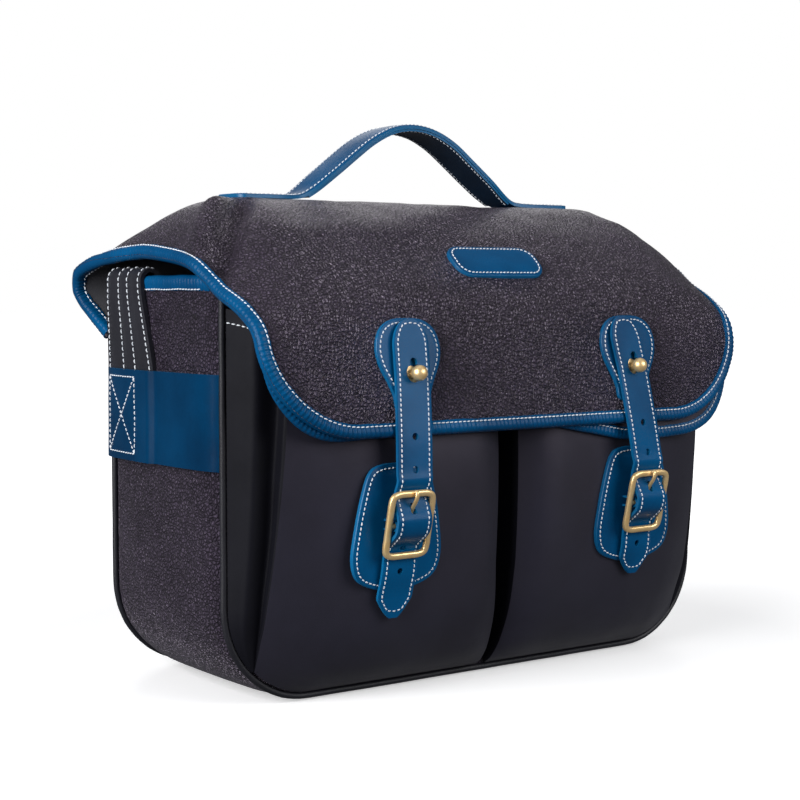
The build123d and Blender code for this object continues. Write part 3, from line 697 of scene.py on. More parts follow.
half = np.where(outer_run, strap_half(line[:, 1]), 23.0)
centre = np.where(outer_run, strap_centre(line[:, 1]), STRAP_Y)
across = np.linspace(-1, 1, 17)
grid = spread(line[:, None, 0], centre[:, None] + half[:, None] * across[None], line[:, None, 1])
normal = facing(surface_normals(grid), (2, 8, 0), -1)
ridges = 0.25 * np.cos(across * 3 * math.pi)[None] * np.ones((len(line), 1))
shoulder = make("shoulder_strap_leather", shell(grid, 1.4 + ridges, -1.4, normal), strap_black)
stand_for(shoulder, "bag", "black_strap", "shoulder_strap")
rows = []
for share in (-0.84, -0.28, 0.28, 0.84):
    column = int(round((share + 1) * 8))
    for part in (slice(3, 64), slice(len(line) - 64, len(line) - 3)):
        up = normal[part, column]
        rows.append(stitches(grid[part, column] + up * 1.5, up, pitch=3.6, length=2.6))
sew("shoulder_strap_stitching", rows, "bag")

# ---- main flap: one sheet from the seam on the back, over the ridge and down the front --------
FLAP_FLAT = 130.0
FLAP_CORNER = 62.0
FLAP_BOTTOM = 160.0
FLAP_LEATHER = 2.6
FLAP_ALL = 3.8
flap_profile = [
    (74.5, 214), (79, 228), (86, 244), (88, 261), (80, 279.5),
    (58, 293.5), (34, 301), (-6, 301.5), (-28, 297),
    (-52, 286), (-70, 273.5), (-98, 248), (-108, 228), (-113.8, 194), (-119.5, 160),
]
flap_side = [
    (75, 215), (92, 229), (99.5, 243), (95, 257), (79, 264.5),
    (52, 267), (21, 266.5), (-3.4, 264.5), (-31, 260.5),
    (-54, 252), (-74, 240), (-95, 229), (-108.5, 216), (-114.5, 190), (-119.5, 160),
]
flap_reach = [191, 195, 200, 202, 199, 196, 194, 194, 194, 194, 193, 191, 189, 187.5, 187]
FRONT_ROW = 12.0           # the row of the profiles at z 228, from which the front hangs nearly straight
ROW_HEIGHT = 34.0

x_share, corner_lift = columns(1.0, FLAP_CORNER / 188, 121, 30)
corner_lift = corner_lift * 188
lowest = FRONT_ROW + (228 - (FLAP_BOTTOM + corner_lift)) / ROW_HEIGHT
LEVEL_ROWS = 10.0          # down to here the rows run level, and below it they follow the lower edge
row_share = np.linspace(0, 1, 200)[:, None]
LEVEL_SHARE = 0.66         # the share of the rows that run level
below = LEVEL_ROWS + (row_share - LEVEL_SHARE) / 0.34 * (lowest[None] - LEVEL_ROWS)
k = np.where(row_share < LEVEL_SHARE, row_share / LEVEL_SHARE * LEVEL_ROWS, below)


def flap_at(share, k):
    """Point of the flap without its rumples: share across from -1 to 1, k down the profiles."""
    x = np.interp(k, np.arange(15), flap_reach) * share
    droop = np.clip((np.abs(x) - FLAP_FLAT) / (194 - FLAP_FLAT), 0, 1.04) ** 2.2
    profile = curve(flap_profile, k) * (1 - droop[..., None]) + curve(flap_side, k) * droop[..., None]
    return np.concatenate([x[..., None], profile], axis=-1)


wide = np.broadcast_to(x_share[None], k.shape)
flap_grid = flap_at(wide, k)
nearer = np.clip(wide, -0.99, 0.99)
middle_k = np.clip(k, 0.02, 13.98)
flap_normal = unit(np.cross(
    flap_at(nearer + 0.01, middle_k) - flap_at(nearer - 0.01, middle_k),
    flap_at(nearer, middle_k - 0.02) - flap_at(nearer, middle_k + 0.02),
))
if flap_normal[75, 50, 2] < 0:
    flap_normal = -flap_normal


def fold_line(grid, start, end, ridge, valley):
    """Sharp fold with a dent beside it, from start to end in plan (x, y)."""
    start, end = np.array(start, float), np.array(end, float)
    along = (end - start) / np.linalg.norm(end - start)
    right = np.array([-along[1], along[0]])
    offset = grid[..., :2] - start
    t = offset @ along / np.linalg.norm(end - start)
    d = offset @ right
    fade = np.clip(t * 3 + 0.3, 0, 1) * np.clip((1.35 - t) * 3, 0, 1)
    top = np.clip((grid[..., 2] - 232) / 25, 0, 1)
    shape = ridge * np.exp(-(d / np.where(d > 0, 6.0, 11.0)) ** 2)
    dent = valley * np.exp(-((np.maximum(d, 0) - 15.0) / 8.0) ** 2)
    return (shape - dent) * fade * top


rumple = 0.9 * waves(flap_grid, 38.0, 1.7) + 0.35 * waves(flap_grid, 16.0, 4.4)
free = np.clip((flap_grid[..., 2] - 216) / 20, 0, 1) * 0.8 + 0.35
lift = rumple * free * np.clip((1 - np.abs(x_share[None])) / 0.11, 0, 1) ** 1.3
folds = fold_line(flap_grid, (-146, 2), (-194, -50), 6.5, 9.0)
folds += fold_line(flap_grid * (-1, 1, 1), (-158, -10), (-194, -52), 3.0, 4.0)
lift += folds * (0.55 + 0.45 * np.clip((1 - np.abs(x_share[None])) / 0.08, 0, 1))
flap_grid = flap_grid + flap_normal * lift[..., None]


def on_flap_hinge(piece, slot, *nodes):
    if nodes:
        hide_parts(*nodes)
    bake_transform(piece)


flap = make("flap_leather", shell(flap_grid, 0.0, -FLAP_LEATHER, flap_normal), charcoal)
on_flap_hinge(flap, "charcoal_leather", "flap_outer", "flap_yoke")
flap_cloth = make(
    "flap_lining_cloth",
    shell(flap_grid[6:, 1:-1], -FLAP_LEATHER - 0.1, -FLAP_ALL, flap_normal[6:, 1:-1]), lining_cloth,
)
on_flap_hinge(flap_cloth, "lining_fabric", "flap_lining")
path, up, out = edge_of(flap_grid, flap_normal)
flap_edge = make("flap_edging", edging(path, up, out, 8.2, 1.5, FLAP_ALL + 1.6, 3.0), [blue])
on_flap_hinge(flap_edge, "blue_leather", "flap_binding")
inner = path - out * 6.3 + up * 1.75
flap_seam = make("flap_edge_stitching", stitches(inner, up), thread)
on_flap_hinge(flap_seam, None)
under = path - out * 6.3 - up * (FLAP_ALL + 1.5)
under_seam = make("flap_edge_stitching_inside", stitches(under, -up), thread)
on_flap_hinge(under_seam, None)
row = 2
back_row = flap_grid[row, 3:-3] + flap_normal[row, 3:-3] * 0.1
sew(
    "yoke_stitching", [stitches(back_row + (0, 0, step), flap_normal[row, 3:-3]) for step in (0, 4.5)], "bag",
)

front_table = curve(flap_profile, np.linspace(11, 14, 200))
FRONT_Y = np.interp(np.arange(150, 260), front_table[::-1, 1], front_table[::-1, 0])


def flap_face(x, z, w):
    """Point on the middle of the flap's front, w outside it."""
    y = float(np.interp(z, np.arange(150, 260), FRONT_Y))
    low, high = (float(np.interp(z + step, np.arange(150, 260), FRONT_Y)) for step in (-4, 4))
    slope = high - low
    tilt = math.atan2(slope, 8.0)
    return (x, y - w * math.cos(tilt) - 0.35, z + w * math.sin(tilt))


# ---- pocket flap
pocket_flap_profile = [(-73, 247), (-90, 241), (-103.5, 222), (-109.4, 186), (-115.2, 149), (-117.0, 138)]
pocket_flap_bottom = [(-130, 160.5), (-60, 164), (20, 163), (60, 155), (84, 149), (118, 148), (155, 151)]
x, lift = columns(184.0, 48.0, 61, 12)
low = np.interp(x, [p[0] for p in pocket_flap_bottom], [p[1] for p in pocket_flap_bottom]) + lift
last = np.where(low > 186, 2 + (222 - low) / 36, 3 + (186 - low) / 37)
first = 2.0 * np.clip((np.abs(x) - 130) / 45, 0, 1) ** 1.2
k = first[None] + np.linspace(0, 1, 50)[:, None] * (last - first)[None]
across = np.broadcast_to(x[None, :, None], (*k.shape, 1))
grid = np.concatenate([across, curve(pocket_flap_profile, k)], axis=-1)
normal = facing(surface_normals(grid), (40, 30, 1), -1)
grid = grid + normal * (0.5 * waves(grid, 30.0, 14.0))[..., None]


def on_pocket_hinge(piece, slot, *nodes):
    if nodes:
        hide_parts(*nodes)
    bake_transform(piece)


inner_flap = make("pocket_flap_leather", shell(grid, 0.0, -2.2, normal), smooth_black)
on_pocket_hinge(inner_flap, "black_leather", "pocket_flap")
path, up, out = edge_of(grid, normal)
inner_edge = make("pocket_flap_edging", edging(path, up, out, 7.5, 0.9, 3.2, 21.0), [blue])
on_pocket_hinge(inner_edge, "blue_leather", "pocket_flap_binding")
inner_seam = make("pocket_flap_stitching", stitches(path - out * 5.6 + up * 1.2, up), thread)
on_pocket_hinge(inner_seam, None)

# ---- pockets: a soft front sewn in along the base, and bellows at its sides
POCKET_TOP = 205.0
BELLOWS_TOP = 234.0
BELLOWS_BACK = -70.5
SEAM_HALF = 186.0          # outer edge of the bellows where they meet the body
SEAM_RADIUS = 55.0
SEAM_CENTRE = 60.0
FRONT_OUTER = 169.0
FRONT_INNER = 3.5
# Upright profiles (y, z) of the pocket's front: in the middle, at its outer edge and at its inner edge.
pocket_middle = [
    (-71.5, 5.5), (-81, 10), (-94, 23), (-104.5, 50),
    (-109.8, 96), (-111.3, 142), (-107.5, 178), (-103, POCKET_TOP),
]
pocket_outside = [
    (-71.5, 5.5), (-74.5, 14), (-78, 26), (-85, 52), (-93, 98), (-99, 145), (-100, 178), (-98, POCKET_TOP),
]
pocket_inside = [
    (-71.5, 5.5), (-78, 11), (-86, 24), (-94, 50), (-98, 96), (-99, 142), (-97, 178), (-95, POCKET_TOP),
]
corner_fade = np.array([1.0, 0.95, 0.8, 0.45, 0.1, 0.0, 0.0, 0.0])


def seam_height(x):
    """Height of the seam along the base and round its corner."""
    beyond = np.clip(np.abs(x) - (SEAM_HALF - SEAM_RADIUS - 1), 0, SEAM_RADIUS)
    return SEAM_CENTRE - np.sqrt(SEAM_RADIUS**2 - beyond**2) + 0.5


def seam_reach(z):
    """How far out the seam is at a height."""
    drop = np.clip(SEAM_CENTRE - z, 0, SEAM_RADIUS)
    return SEAM_HALF - SEAM_RADIUS + np.sqrt(np.maximum(SEAM_RADIUS**2 - drop**2, 0))


for side, sign in SIDES:
    base_x = np.concatenate([
        np.linspace(FRONT_OUTER, 160, 6), np.linspace(158, 26, 45), np.linspace(23, FRONT_INNER, 12),
    ])
    profiles = []
    for x in base_x:
        outer_share = np.clip((x - 95) / (FRONT_OUTER - 95), 0, 1) ** 1.7
        inner_share = np.clip(1 - (x - FRONT_INNER) / 30, 0, 1) ** 2.2
        middle_share = 1 - outer_share - inner_share
        points = (
            np.array(pocket_middle) * middle_share + np.array(pocket_outside) * outer_share
            + np.array(pocket_inside) * inner_share
        )
        points[:, 1] += (seam_height(x) - 5.5) * corner_fade
        profiles.append(curve(points, np.linspace(0, 7, 64)))
    profiles = np.array(profiles).transpose(1, 0, 2)
    z = profiles[..., 1]
    px = base_x[None] - 5.5 * np.clip((z - 60) / 110, 0, 1.2) * (base_x[None] / FRONT_OUTER) ** 3
    px = px + 4.5 * np.clip((z - 5) / 70, 0, 1) * np.clip(1 - (px - FRONT_INNER) / 60, 0, 1)
    grid = np.stack([sign * px, profiles[..., 0], z], axis=-1)
    free = np.clip((z - 12) / 50, 0, 1) * np.clip((base_x[None] - FRONT_INNER) / 14, 0, 1)
    grid[..., 1] -= free * (0.9 * waves(grid * (1, 1, 0.4), 36.0, 30.0 + sign) + 0.3)
    normal = facing(surface_normals(grid), (30, 20, 1), -1)
    front = make(f"pocket_front_{side}", shell(grid, 0.0, -2.2, normal), smooth_black)
    stand_for(front, "bag", "black_leather", f"pocket_panel_{side}")

    # Outer bellows: a narrow crease behind the pocket's edge, then a soft ridge, then back to the seam.
    front_edge = grid[:, 0] * (sign, 1, 1)
    rows = []
    for x, y, z in front_edge:
        reach = float(seam_reach(z))
        back = np.array((min(reach, SEAM_HALF), BELLOWS_BACK))
        edge = np.array((x, y))
        span = back - edge
        deep = float(np.clip((BELLOWS_BACK - edge[1]) / 28, 0, 1))
        marks = [
            edge, edge + (0.9 * deep, 1.4 * deep), edge + (0.2 * deep, 4.5 * deep),
            edge + (-1.5, 10.5) * np.array(deep), edge + (1.5, 12.5) * np.array(deep),
            edge + span * 0.52 + (0.9 * deep, -2.6 * deep),
            edge + span * 0.72 + (1.2 * deep, -1.6 * deep), back,
        ]
        rows.append(curve(marks, np.linspace(0, 7, 36)))
    plan = np.array(rows)
    high = np.broadcast_to(front_edge[:, None, 2], plan.shape[:2]).copy()
    rise = np.clip((high - 120) / (POCKET_TOP - 120), 0, 1.2) * (BELLOWS_TOP - POCKET_TOP)
    high += rise * np.linspace(0, 1, 36)[None] ** 0.5
    outer_side = np.stack([sign * plan[..., 0], plan[..., 1], high], axis=-1)
    middle_most = np.sin(np.linspace(0, math.pi, 36))[None]
    outer_side[..., 0] += sign * 0.6 * waves(outer_side, 26.0, 50.0) * middle_most
    outer_normal = surface_normals(outer_side)
    if outer_normal[30, 30, 0] * sign < 0:
        outer_normal = -outer_normal
    inner_edge_line = grid[:, -1]
    step = np.linspace(0, 1, 12)[None, :, None]
    inner_back = np.stack([
        np.full(len(grid), sign * 2.6), np.full(len(grid), BELLOWS_BACK), inner_edge_line[:, 2],
    ], axis=1)
    inner_side = inner_edge_line[:, None] * (1 - step) + inner_back[:, None] * step
    rise = np.clip((inner_side[..., 2] - 120) / 85, 0, 1.2) * (BELLOWS_TOP - POCKET_TOP)
    inner_side[..., 2] += rise * step[..., 0]
    inner_normal = surface_normals(inner_side)
    if inner_normal[30, 5, 0] * sign > 0:
        inner_normal = -inner_normal
    # The bellows take the near-black leather, whose darkness is painted shade of their deep folds.
    bellows = make(
        f"pocket_gusset_{side}",
        [shell(outer_side, 0.0, -1.8, outer_normal), shell(inner_side, 0.0, -1.8, inner_normal)],
        shadow_black,
    )
    stand_for(bellows, "bag", "black_leather", f"pocket_bellows_{side}")
    hems = [
        stitches(outer_side[-3, 12:] + outer_normal[-3, 12:] * 0.15, outer_normal[-3, 12:]),
        stitches(inner_side[-3] + inner_normal[-3] * 0.15, inner_normal[-3]),
        stitches(grid[-3, 1:-1] + normal[-3, 1:-1] * 0.15, normal[-3, 1:-1]),
    ]
    sew(f"pocket_hem_stitching_{side}", hems, "bag")

profile_table = curve(pocket_middle, np.linspace(0, 7, 240))


def pocket_y(z):
    return np.interp(z, profile_table[:, 1], profile_table[:, 0])


pocket_z = np.arange(0, 240)
POCKET_FRONT = pocket_y(pocket_z)


def pocket_face(x, z, w):
    """Point on the front of the pockets, w outside it."""
    y = float(np.interp(z, pocket_z, POCKET_FRONT))
    slope = float(np.interp(z + 6, pocket_z, POCKET_FRONT)) - float(np.interp(z - 6, pocket_z, POCKET_FRONT))
    tilt = math.atan2(slope, 12.0)
    return (x, y - w * math.cos(tilt) - 0.9, z + w * math.sin(tilt))


# ---- closures: patches, studs, straps, buckles
CLOSURE_X = 88.0
BUCKLE_X = 95.0
STUD_Z = 195.0
PATCH_Z = 100.0
BAR_Y = -123.5
BAR_Z = 108.5
LEAN = math.radians(13.0)
STRAP_WIDTH = 25.0
STRAP_THICK = 2.5
FINE = {"pitch": 2.9, "length": 2.1}    # the stitches of patches and straps
stud_patch_half = [
    (0, 33), (12, 31.8), (20, 26), (23.2, 16), (21.5, 6),
    (16.5, -4), (13.2, -12), (12.2, -19), (7, -21.5), (0, -22),
]
buckle_patch_half = [
    (0, 44), (14, 43), (21.5, 38), (26.5, 24), (30.2, 6), (32, -12), (27.5, -24), (15, -30), (0, -31.5),
]
closure_line = [(-113.4, 228), (-117.8, 198), (-123.2, 163), (-125.8, 140)]
threaded = [
    (-2.6, 26), (-3.4, 20), (-3.2, 15), (0.8, 9.5), (4.6, 4.5),
    (4.6, -3), (0.6, -9), (-3.2, -14), (-3.5, -21),
]
hanging = [(-114.2, 78), (-110.9, 66), (-109.0, 52)]
tail_line = [
    (BAR_Y - out * math.cos(LEAN) - up * math.sin(LEAN), BAR_Z - out * math.sin(LEAN) + up * math.cos(LEAN))
    for out, up in threaded
] + hanging
strap_centres = {
    "left": [(50, -97.0), (88, -95.5), (110, -95), (135, -93.2), (163, -91.3), (195, -88.8), (228, -88)],
    "right": [(50, 95.5), (88, 95), (110, 95), (135, 93.6), (163, 90.5), (195, 87), (208, 84.6), (228, 81.5)],
}


def buckle_frame_point(out, up, x):
    return (
        x,
        BAR_Y - out * math.cos(LEAN) - up * math.sin(LEAN),
        BAR_Z - out * math.sin(LEAN) + up * math.cos(LEAN),
    )


def cut_holes(piece, holes):
    """Round holes through a strap: (centre, direction, radius) of each."""
    tools = []
    for centre, direction, radius in holes:
        direction = unit(np.array(direction, float))
        path = np.array([np.array(centre) - direction * 4, np.array(centre) + direction * 4])
        tools.append(rod(path, 2 * radius, 2 * radius, (1.0, 0.0, 0.0), count=20))
    tool = make("hole_tool", tools, rim_paint_and_highlight)
    cut = piece.modifiers.new("holes", "BOOLEAN")
    cut.operation = "DIFFERENCE"
    cut.solver = "EXACT"
    cut.use_self = True
    cut.object = tool
    bpy.context.view_layer.update()
    result = bpy.data.meshes.new_from_object(piece.evaluated_get(bpy.context.evaluated_depsgraph_get()))
    piece.modifiers.clear()
    piece.data = result
    bpy.data.objects.remove(tool)
    result.shade_smooth()
    result.set_sharp_from_angle(angle=math.radians(32))


for side, sign in SIDES:
    sewn_patch(
        (f"stud_patch_leather_{side}", f"stud_patch_stitching_{side}"),
        mirrored(stud_patch_half) + (sign * CLOSURE_X, STUD_Z), flap_face, -0.4, 2.0, 2.6,
        (0.0, -0.985, -0.17), "flap", f"stud_patch_{side}", **FINE,
    )
    sewn_patch(
        (f"buckle_patch_leather_{side}", f"buckle_patch_stitching_{side}"),
        mirrored(buckle_patch_half) + (sign * BUCKLE_X, PATCH_Z), pocket_face, -0.8, 2.0, 2.8,
        (0.0, -0.995, 0.06), "bag", f"buckle_patch_{side}", **FINE,
    )

    # Ball stud, turned: flange, neck and ball.
    turned = [
        (0.0, -0.3), (6.0, -0.3), (6.2, 0.6), (5.9, 1.3), (5.2, 1.7), (3.2, 1.8), (2.6, 2.4), (2.4, 5.0),
    ]
    turned += [(4.75 * math.cos(a), 9.9 + 4.75 * math.sin(a)) for a in np.radians(np.linspace(-58, 88, 14))]
    turn = np.linspace(0, 2 * math.pi, 32, endpoint=False)
    face_point = np.array(flap_face(sign * CLOSURE_X, STUD_Z, 0.4))
    under, over = (np.array(flap_face(sign * CLOSURE_X, STUD_Z, w)) for w in (0.0, 1.0))
    ahead = unit(over - under)
    up_way = unit(np.cross(ahead, (1.0, 0.0, 0.0)))
    points = np.array([
        face_point + ahead * h + (np.array((1.0, 0, 0)) * math.cos(a) + up_way * math.sin(a)) * max(r, 0.05)
        for r, h in turned for a in turn
    ])
    faces = grid_faces(len(turned), 32, closed=True)
    faces += [list(range(32)), [(len(turned) - 1) * 32 + i for i in range(32)]]
    stud = make(f"ball_stud_{side}", (points, faces, [0] * len(faces)), brass, sharp=60)
    stand_for(stud, "flap", "brass", f"stud_{side}")

    # Closure strap and its lower end, one strap threaded through the buckle.
    line = curve(closure_line + tail_line, np.linspace(0, len(closure_line + tail_line) - 1, 200))
    line = even(line, 1.6)
    if side == "right":
        line = line[line[:, 1] > 58.5]
    centres = strap_centres[side]
    centre = np.interp(line[:, 1], [c[0] for c in centres], [c[1] for c in centres])
    along = distances(line)
    from_tip = along + 0.4
    from_end = along[-1] - along + 0.4
    rounded = np.sqrt(np.clip(1 - (1 - np.clip(from_tip / 17, 0, 1)) ** 2, 0, 1))
    half = np.minimum(STRAP_WIDTH / 2, 12.6 * rounded)
    in_buckle = np.exp(-((line[:, 1] - BAR_Z) / 22.0) ** 4)
    half = half - 0.5 * in_buckle
    half = np.minimum(half, 2.2 + 12.0 * np.clip(from_end / 15, 0, 1) ** 0.75)
    share = np.array([-1.0, -0.97, -0.9, -0.7, -0.45, -0.2, 0.0, 0.2, 0.45, 0.7, 0.9, 0.97, 1.0])
    grid = spread(centre[:, None] + half[:, None] * share[None], line[:, None, 0], line[:, None, 1])
    normal = facing(surface_normals(grid), (20, 6, 1), -1)
    thin = np.array([0.72, 0.93, *[1.0] * 9, 0.93, 0.72])[None] * STRAP_THICK / 2
    closure = make(f"closure_leather_{side}", shell(grid, thin, -thin, normal), [blue, rim_paint_and_highlight], sharp=32)
    holes = []

    def hole_at(z, radius, x=None):
        row = int(np.argmin(np.abs(line[:, 1] - z)))
        holes.append(((centre[row] if x is None else x, line[row, 0], line[row, 1]), normal[row, 6], radius))

    hole_at(STUD_Z + 0.5, 5.6, sign * CLOSURE_X)
    hole_at(STUD_Z + 7.5, 2.6, sign * CLOSURE_X)
    hole_at(160.0, 2.1)
    hole_at(140.0, 2.1)
    hole_at(119.2, 2.1, sign * BUCKLE_X)
    hole_at(117.0, 2.1, sign * BUCKLE_X)
    if side == "left":
        hole_at(94.5, 2.0)
    hole_at(80.0, 2.0)
    cut_holes(closure, holes)
    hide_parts(f"closure_strap_{side}", f"strap_tail_{side}")
    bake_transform(closure)
    rows = []
    usable = (from_tip > 3) & (from_end > 4)
    first, final = np.nonzero(usable)[0][[0, -1]]
    for edge in (-1, 1):
        cut = slice(first, final + 1)
        lane = grid[cut, 6].copy()
        lane[:, 0] += edge * (half[cut] - 2.6)
        rows.append(stitches(lane + normal[cut, 6] * STRAP_THICK / 2, normal[cut, 6], **FINE))
    for turn_row in (first, final):
        reach = half[turn_row] - 2.6
        turn_line = grid[turn_row, 6] + normal[turn_row, 6] * STRAP_THICK / 2
        bow = 0.6 if turn_row == first else -0.6
        turn_line = turn_line + np.array([(-reach, 0, 0), (0, 0, bow), (reach, 0, 0)])
        rows.append(stitches(turn_line, normal[turn_row, 6], **FINE))
    seam = make(f"closure_stitching_{side}", rows, thread)
    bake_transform(seam)

    # Loop that holds the buckle's centre bar, with a slot for the prong.
    loop_yz = [(-112.0, BAR_Z + 2.8), (-118.0, BAR_Z + 2.8), (BAR_Y, BAR_Z + 2.8)]
    round_bar = np.radians(np.linspace(90, 270, 12))[1:]
    loop_yz += [(BAR_Y + 2.8 * math.cos(a), BAR_Z + 2.8 * math.sin(a)) for a in round_bar]
    loop_yz += [(-118.0, BAR_Z - 2.8), (-112.0, BAR_Z - 2.8)]
    loop_yz = np.array(loop_yz)
    parts = []
    for a, b in ((-11.0, -2.4), (2.4, 11.0)):
        span = np.linspace(a, b, 6)
        grid = spread(sign * BUCKLE_X + span[None], loop_yz[:, None, 0], loop_yz[:, None, 1])
        parts.append(shell(grid, 0.6, -0.6))
    loop = make(f"buckle_loop_leather_{side}", parts, [blue, rim_paint_and_highlight])
    stand_for(loop, "bag", "blue_leather", f"buckle_loop_{side}")

    # Buckle: a rounded frame and its centre bar.
    centre_x = sign * BUCKLE_X
    corner = [(14.5, 13.5), (13.4, 17.4), (9.5, 18.9)]
    ring = [(14.5, 0), (14.5, 7)] + corner + [(4, 19.0), (0, 19.0)]
    top = ring
    ring = top + [(-x, y) for x, y in top[-2:0:-1]] + [(-14.5, 0)]
    ring += [(-x, -y) for x, y in top[1:-1]] + [(0, -19.0)]
    ring += [(x, -y) for x, y in [(4, 19.0)] + corner[::-1] + [(14.5, 7)]]
    ring = np.array(ring, float)
    loop_points = np.vstack([ring[-2:], ring, ring[:3]])
    smooth = curve(loop_points, np.arange(2, len(ring) + 2, 0.25))
    path = np.array([buckle_frame_point(0.0, v, centre_x + u) for u, v in smooth])
    lean_normal = (0.0, -math.cos(LEAN), -math.sin(LEAN))
    parts = [rod(path, 4.0, 3.4, lean_normal, closed=True, count=16, square=2.8)]
    bar = np.array([buckle_frame_point(0.0, 0.0, centre_x + u) for u in np.linspace(-14.0, 14.0, 9)])
    parts.append(rod(bar, 3.0, 3.0, lean_normal, count=14))
    buckle = make(f"buckle_{side}_brass", parts, brass, sharp=60)
    stand_for(buckle, f"buckle_{side}", "brass", f"buckle_frame_{side}")

    # Prong: its end is rolled round the bar, and its tip lies on the top bar.
    rolled = [(2.3 * math.cos(a), 2.3 * math.sin(a)) for a in np.radians(np.linspace(-60, -290, 12))]
    arm = rolled + [(-0.2, 6.5), (1.2, 11.0), (3.2, 15.4), (3.9, 18.0), (3.5, 20.6), (2.6, 21.6)]
    smooth = curve(arm, np.linspace(0, len(arm) - 1, 60))
    path = np.array([buckle_frame_point(o, u, centre_x) for o, u in smooth])
    sizes = np.interp(np.linspace(0, 1, 60), [0, 0.6, 0.9, 1.0], [3.0, 3.0, 2.7, 1.4])
    tangent = unit(np.gradient(path, axis=0))
    across_x = np.broadcast_to((1.0, 0.0, 0.0), path.shape)
    sections = np.array([oval(size, 1.9 if size > 2 else 1.3, 12, 2.4) for size in sizes])
    arm_mesh = sweep(path, across_x, np.cross(tangent, across_x), sections)
    prong = make(f"prong_{side}_brass", arm_mesh, brass, sharp=60)
    stand_for(prong, f"prong_{side}", "brass", f"prong_{side}")

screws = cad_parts["stud_screws"]
screws.data.materials.clear()
screws.data.materials.append(brass)

# ---- name patch, blank
slope_start, slope_end = np.array((-70.0, 273.5)), np.array((-98.0, 248.0))
slope_middle = (slope_start + slope_end) / 2
slope_way = unit(slope_start - slope_end)


def slope_face(u, v, w):
    """Point on the flap's upper slope: u across, v up the slope, w outside it."""
    bow = 1.6 - 0.004 * v * v
    y, z = slope_middle + slope_way * v + np.array((-slope_way[1], slope_way[0])) * (w + bow)
    return (u, y, z)


def pill(width, height, radius, steps=9):
    quarter = np.radians(np.linspace(0, 90, steps))
    a, b = width / 2 - radius, height / 2 - radius
    points = [(a + radius * math.cos(t), b + radius * math.sin(t)) for t in quarter]
    points += [(-x, y) for x, y in points[::-1]]
    points += [(x, -y) for x, y in points[::-1]]
    loop = even(np.array(points + points[:1]), 1.5)
    return loop[:-1]


sewn_patch(
    ("name_patch_leather", "name_patch_stitching"), pill(69.0, 27.0, 10.5), slope_face, -1.5, 1.9, 2.4,
    (0.0, -slope_way[1], slope_way[0]), "flap", "name_patch", pitch=2.7, length=2.0,
)

# ---- handle: one strap from tab to tab, with a darker lining under the arch
HANDLE_Y = 14.0
handle_path = [
    (-135, 303.4), (-118, 303.4), (-101, 303.4), (-88, 304.4),
    (-78, 309.4), (-64, 319.8), (-48, 331.8), (-32, 343.0),
    (-16, 350.2), (0, 352.6),
]
handle_path += [(-x, z) for x, z in handle_path[-2::-1]]
line = even(curve(handle_path, np.linspace(0, len(handle_path) - 1, 160)), 2.0)
share = np.array([-1.0, -0.97, -0.9, -0.7, -0.45, -0.2, 0.0, 0.2, 0.45, 0.7, 0.9, 0.97, 1.0])
foot = np.exp(-((np.abs(line[:, 0]) - 86) / 13.0) ** 2)
half = 16.0 - 3.2 * foot
end_distance = 135 - np.abs(line[:, 0])
half = np.minimum(half, 11 + 5 * np.sqrt(np.clip(1 - (1 - np.clip(end_distance / 5, 0, 1)) ** 2, 0, 1)))
crown = 0.9 * np.clip(1 - foot, 0, 1) * np.clip((line[:, 1] - 303) / 10, 0, 1)
grid = np.stack([
    np.broadcast_to(line[:, None, 0], (len(line), 13)),
    HANDLE_Y + half[:, None] * share[None],
    line[:, None, 1] + crown[:, None] * (1 - share[None] ** 2),
], axis=-1)
grid[..., 2] += 0.35 * waves(grid, 24.0, 40.0)
normal = facing(surface_normals(grid), (len(line) // 2, 6, 2), 1)
thin = np.array([0.6, 0.9, *[1.0] * 9, 0.9, 0.6])[None]
strap = make("handle_leather", shell(grid, 1.3 * thin, -1.3, normal), [blue, rim_paint_and_highlight], sharp=40)
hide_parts("handle_strap", "handle_tab_left", "handle_tab_right")
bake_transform(strap)
arch = np.abs(line[:, 0]) < 84
under_grid = grid[arch] - normal[arch] * 2.1
under_half = (under_grid[:, :, 1] - HANDLE_Y) * 0.97
under_grid[..., 1] = HANDLE_Y + under_half
under = make("handle_underside", shell(under_grid, 0.7, -0.7, normal[arch]), [dark_blue, rim_paint_and_highlight])
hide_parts("handle_lining")
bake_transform(under)
rows = []
for edge in (-1, 1):
    lane = grid[2:-2, 6].copy()
    lane[:, 1] += edge * (half[2:-2] - 2.8)
    lane[:, 2] -= crown[2:-2] * ((half[2:-2] - 2.8) / half[2:-2]) ** 2
    rows.append(stitches(lane + normal[2:-2, 6] * 1.3, normal[2:-2, 6]))
    below = lane[arch[2:-2]] - normal[2:-2, 6][arch[2:-2]] * 2.9
    rows.append(stitches(below, -normal[2:-2, 6][arch[2:-2]]))
for end in (2, -3):
    rows.append(stitches(grid[end, 2:-2] + normal[end, 2:-2] * 1.3, normal[end, 2:-2]))
for x in (-92, 92):
    row = int(np.argmin(np.abs(line[:, 0] - x)))
    rows.append(stitches(grid[row, 2:-2] + normal[row, 2:-2] * 1.3, normal[row, 2:-2]))
seam = make("handle_stitching", rows, thread)
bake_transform(seam)

# ---- studio
bpy.ops.mesh.primitive_plane_add(size=30.0, location=(0, 0, -0.0006))
floor = bpy.context.object
floor.name = "studio_floor"
floor_material, tree, shader = new_material("studio_floor", (0.93, 0.93, 0.94), 0.35)
shader.inputs["Specular IOR Level"].default_value = 0.35
shader.inputs["Emission Color"].default_value = (1, 1, 1, 1)
floor_place = tree.nodes.new("ShaderNodeTexCoord").outputs["Object"]
away_from_bag = tree.nodes.new("ShaderNodeVectorMath")
away_from_bag.operation = "LENGTH"
tree.links.new(floor_place, away_from_bag.inputs[0])
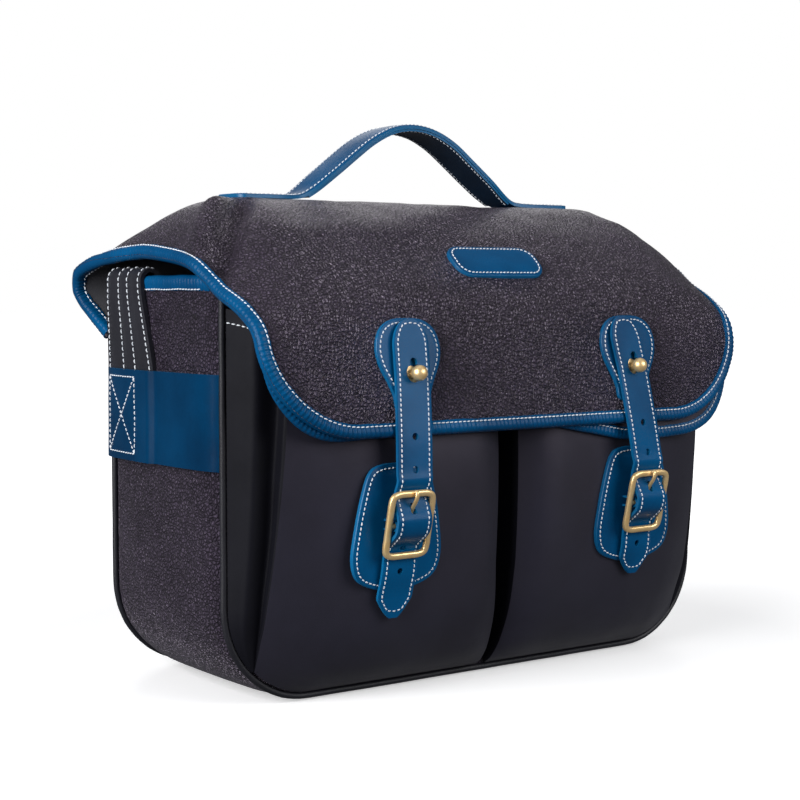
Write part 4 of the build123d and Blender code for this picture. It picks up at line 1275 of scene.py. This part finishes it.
# The floor glows evenly white beyond about 0.7 m and dimmer near the bag: the dimmer ring is a painted shadow.
floor_glow_and_painted_shadow = stretch(tree, away_from_bag.outputs["Value"], 0.28, 0.70, 0.42, 1.0)
tree.links.new(floor_glow_and_painted_shadow, shader.inputs["Emission Strength"])
floor.data.materials.append(floor_material)
floor.visible_diffuse = False
floor.visible_glossy = False

world = bpy.data.worlds.new("studio")
bpy.context.scene.world = world
world.use_nodes = True
nodes, links = world.node_tree.nodes, world.node_tree.links
nodes.clear()
surround = nodes.new("ShaderNodeBackground")
surround.inputs["Color"].default_value = (0.93, 0.95, 1.0, 1)
surround.inputs["Strength"].default_value = 0.16
backdrop = nodes.new("ShaderNodeBackground")
backdrop.inputs["Color"].default_value = (1, 1, 1, 1)
backdrop.inputs["Strength"].default_value = 1.0
path_kind = nodes.new("ShaderNodeLightPath")
chosen = nodes.new("ShaderNodeMixShader")
output = nodes.new("ShaderNodeOutputWorld")
links.new(path_kind.outputs["Is Camera Ray"], chosen.inputs["Fac"])
links.new(surround.outputs["Background"], chosen.inputs[1])
links.new(backdrop.outputs["Background"], chosen.inputs[2])
links.new(chosen.outputs["Shader"], output.inputs["Surface"])


def softbox(name, location, target, width, height, power, colour=(1, 1, 1)):
    light = bpy.data.lights.new(name, "AREA")
    light.shape = "RECTANGLE"
    light.size = width
    light.size_y = height
    light.energy = power
    light.color = colour
    lamp = bpy.data.objects.new(name, light)
    bpy.context.scene.collection.objects.link(lamp)
    lamp.location = location
    lamp.rotation_euler = (Vector(target) - Vector(location)).to_track_quat("-Z", "Y").to_euler()


softbox("key_left", (-1.6, -0.30, 0.65), (0, 0, 0.15), 1.2, 1.2, 40)
softbox("top", (0.1, 0.15, 1.6), (0, 0, 0.1), 1.8, 1.2, 2.2)
softbox("front_fill", (0.7, -1.7, 0.9), (0, 0, 0.15), 1.4, 1.2, 26)
softbox("back_rim", (0.9, 1.3, 0.9), (0, 0, 0.2), 1.0, 0.8, 3)

camera_data = bpy.data.cameras.new("camera")
camera_data.lens = 76.5
camera_data.sensor_width = 36.0
camera_data.clip_end = 100.0
camera = bpy.data.objects.new("camera", camera_data)
bpy.context.scene.collection.objects.link(camera)
camera.location = (-0.6769, -0.9144, 0.2446)
camera.rotation_euler = Vector((0.587, 0.807, -0.0645)).to_track_quat("-Z", "Y").to_euler()
bpy.context.scene.camera = camera
bpy.context.scene.view_settings.view_transform = "Standard"
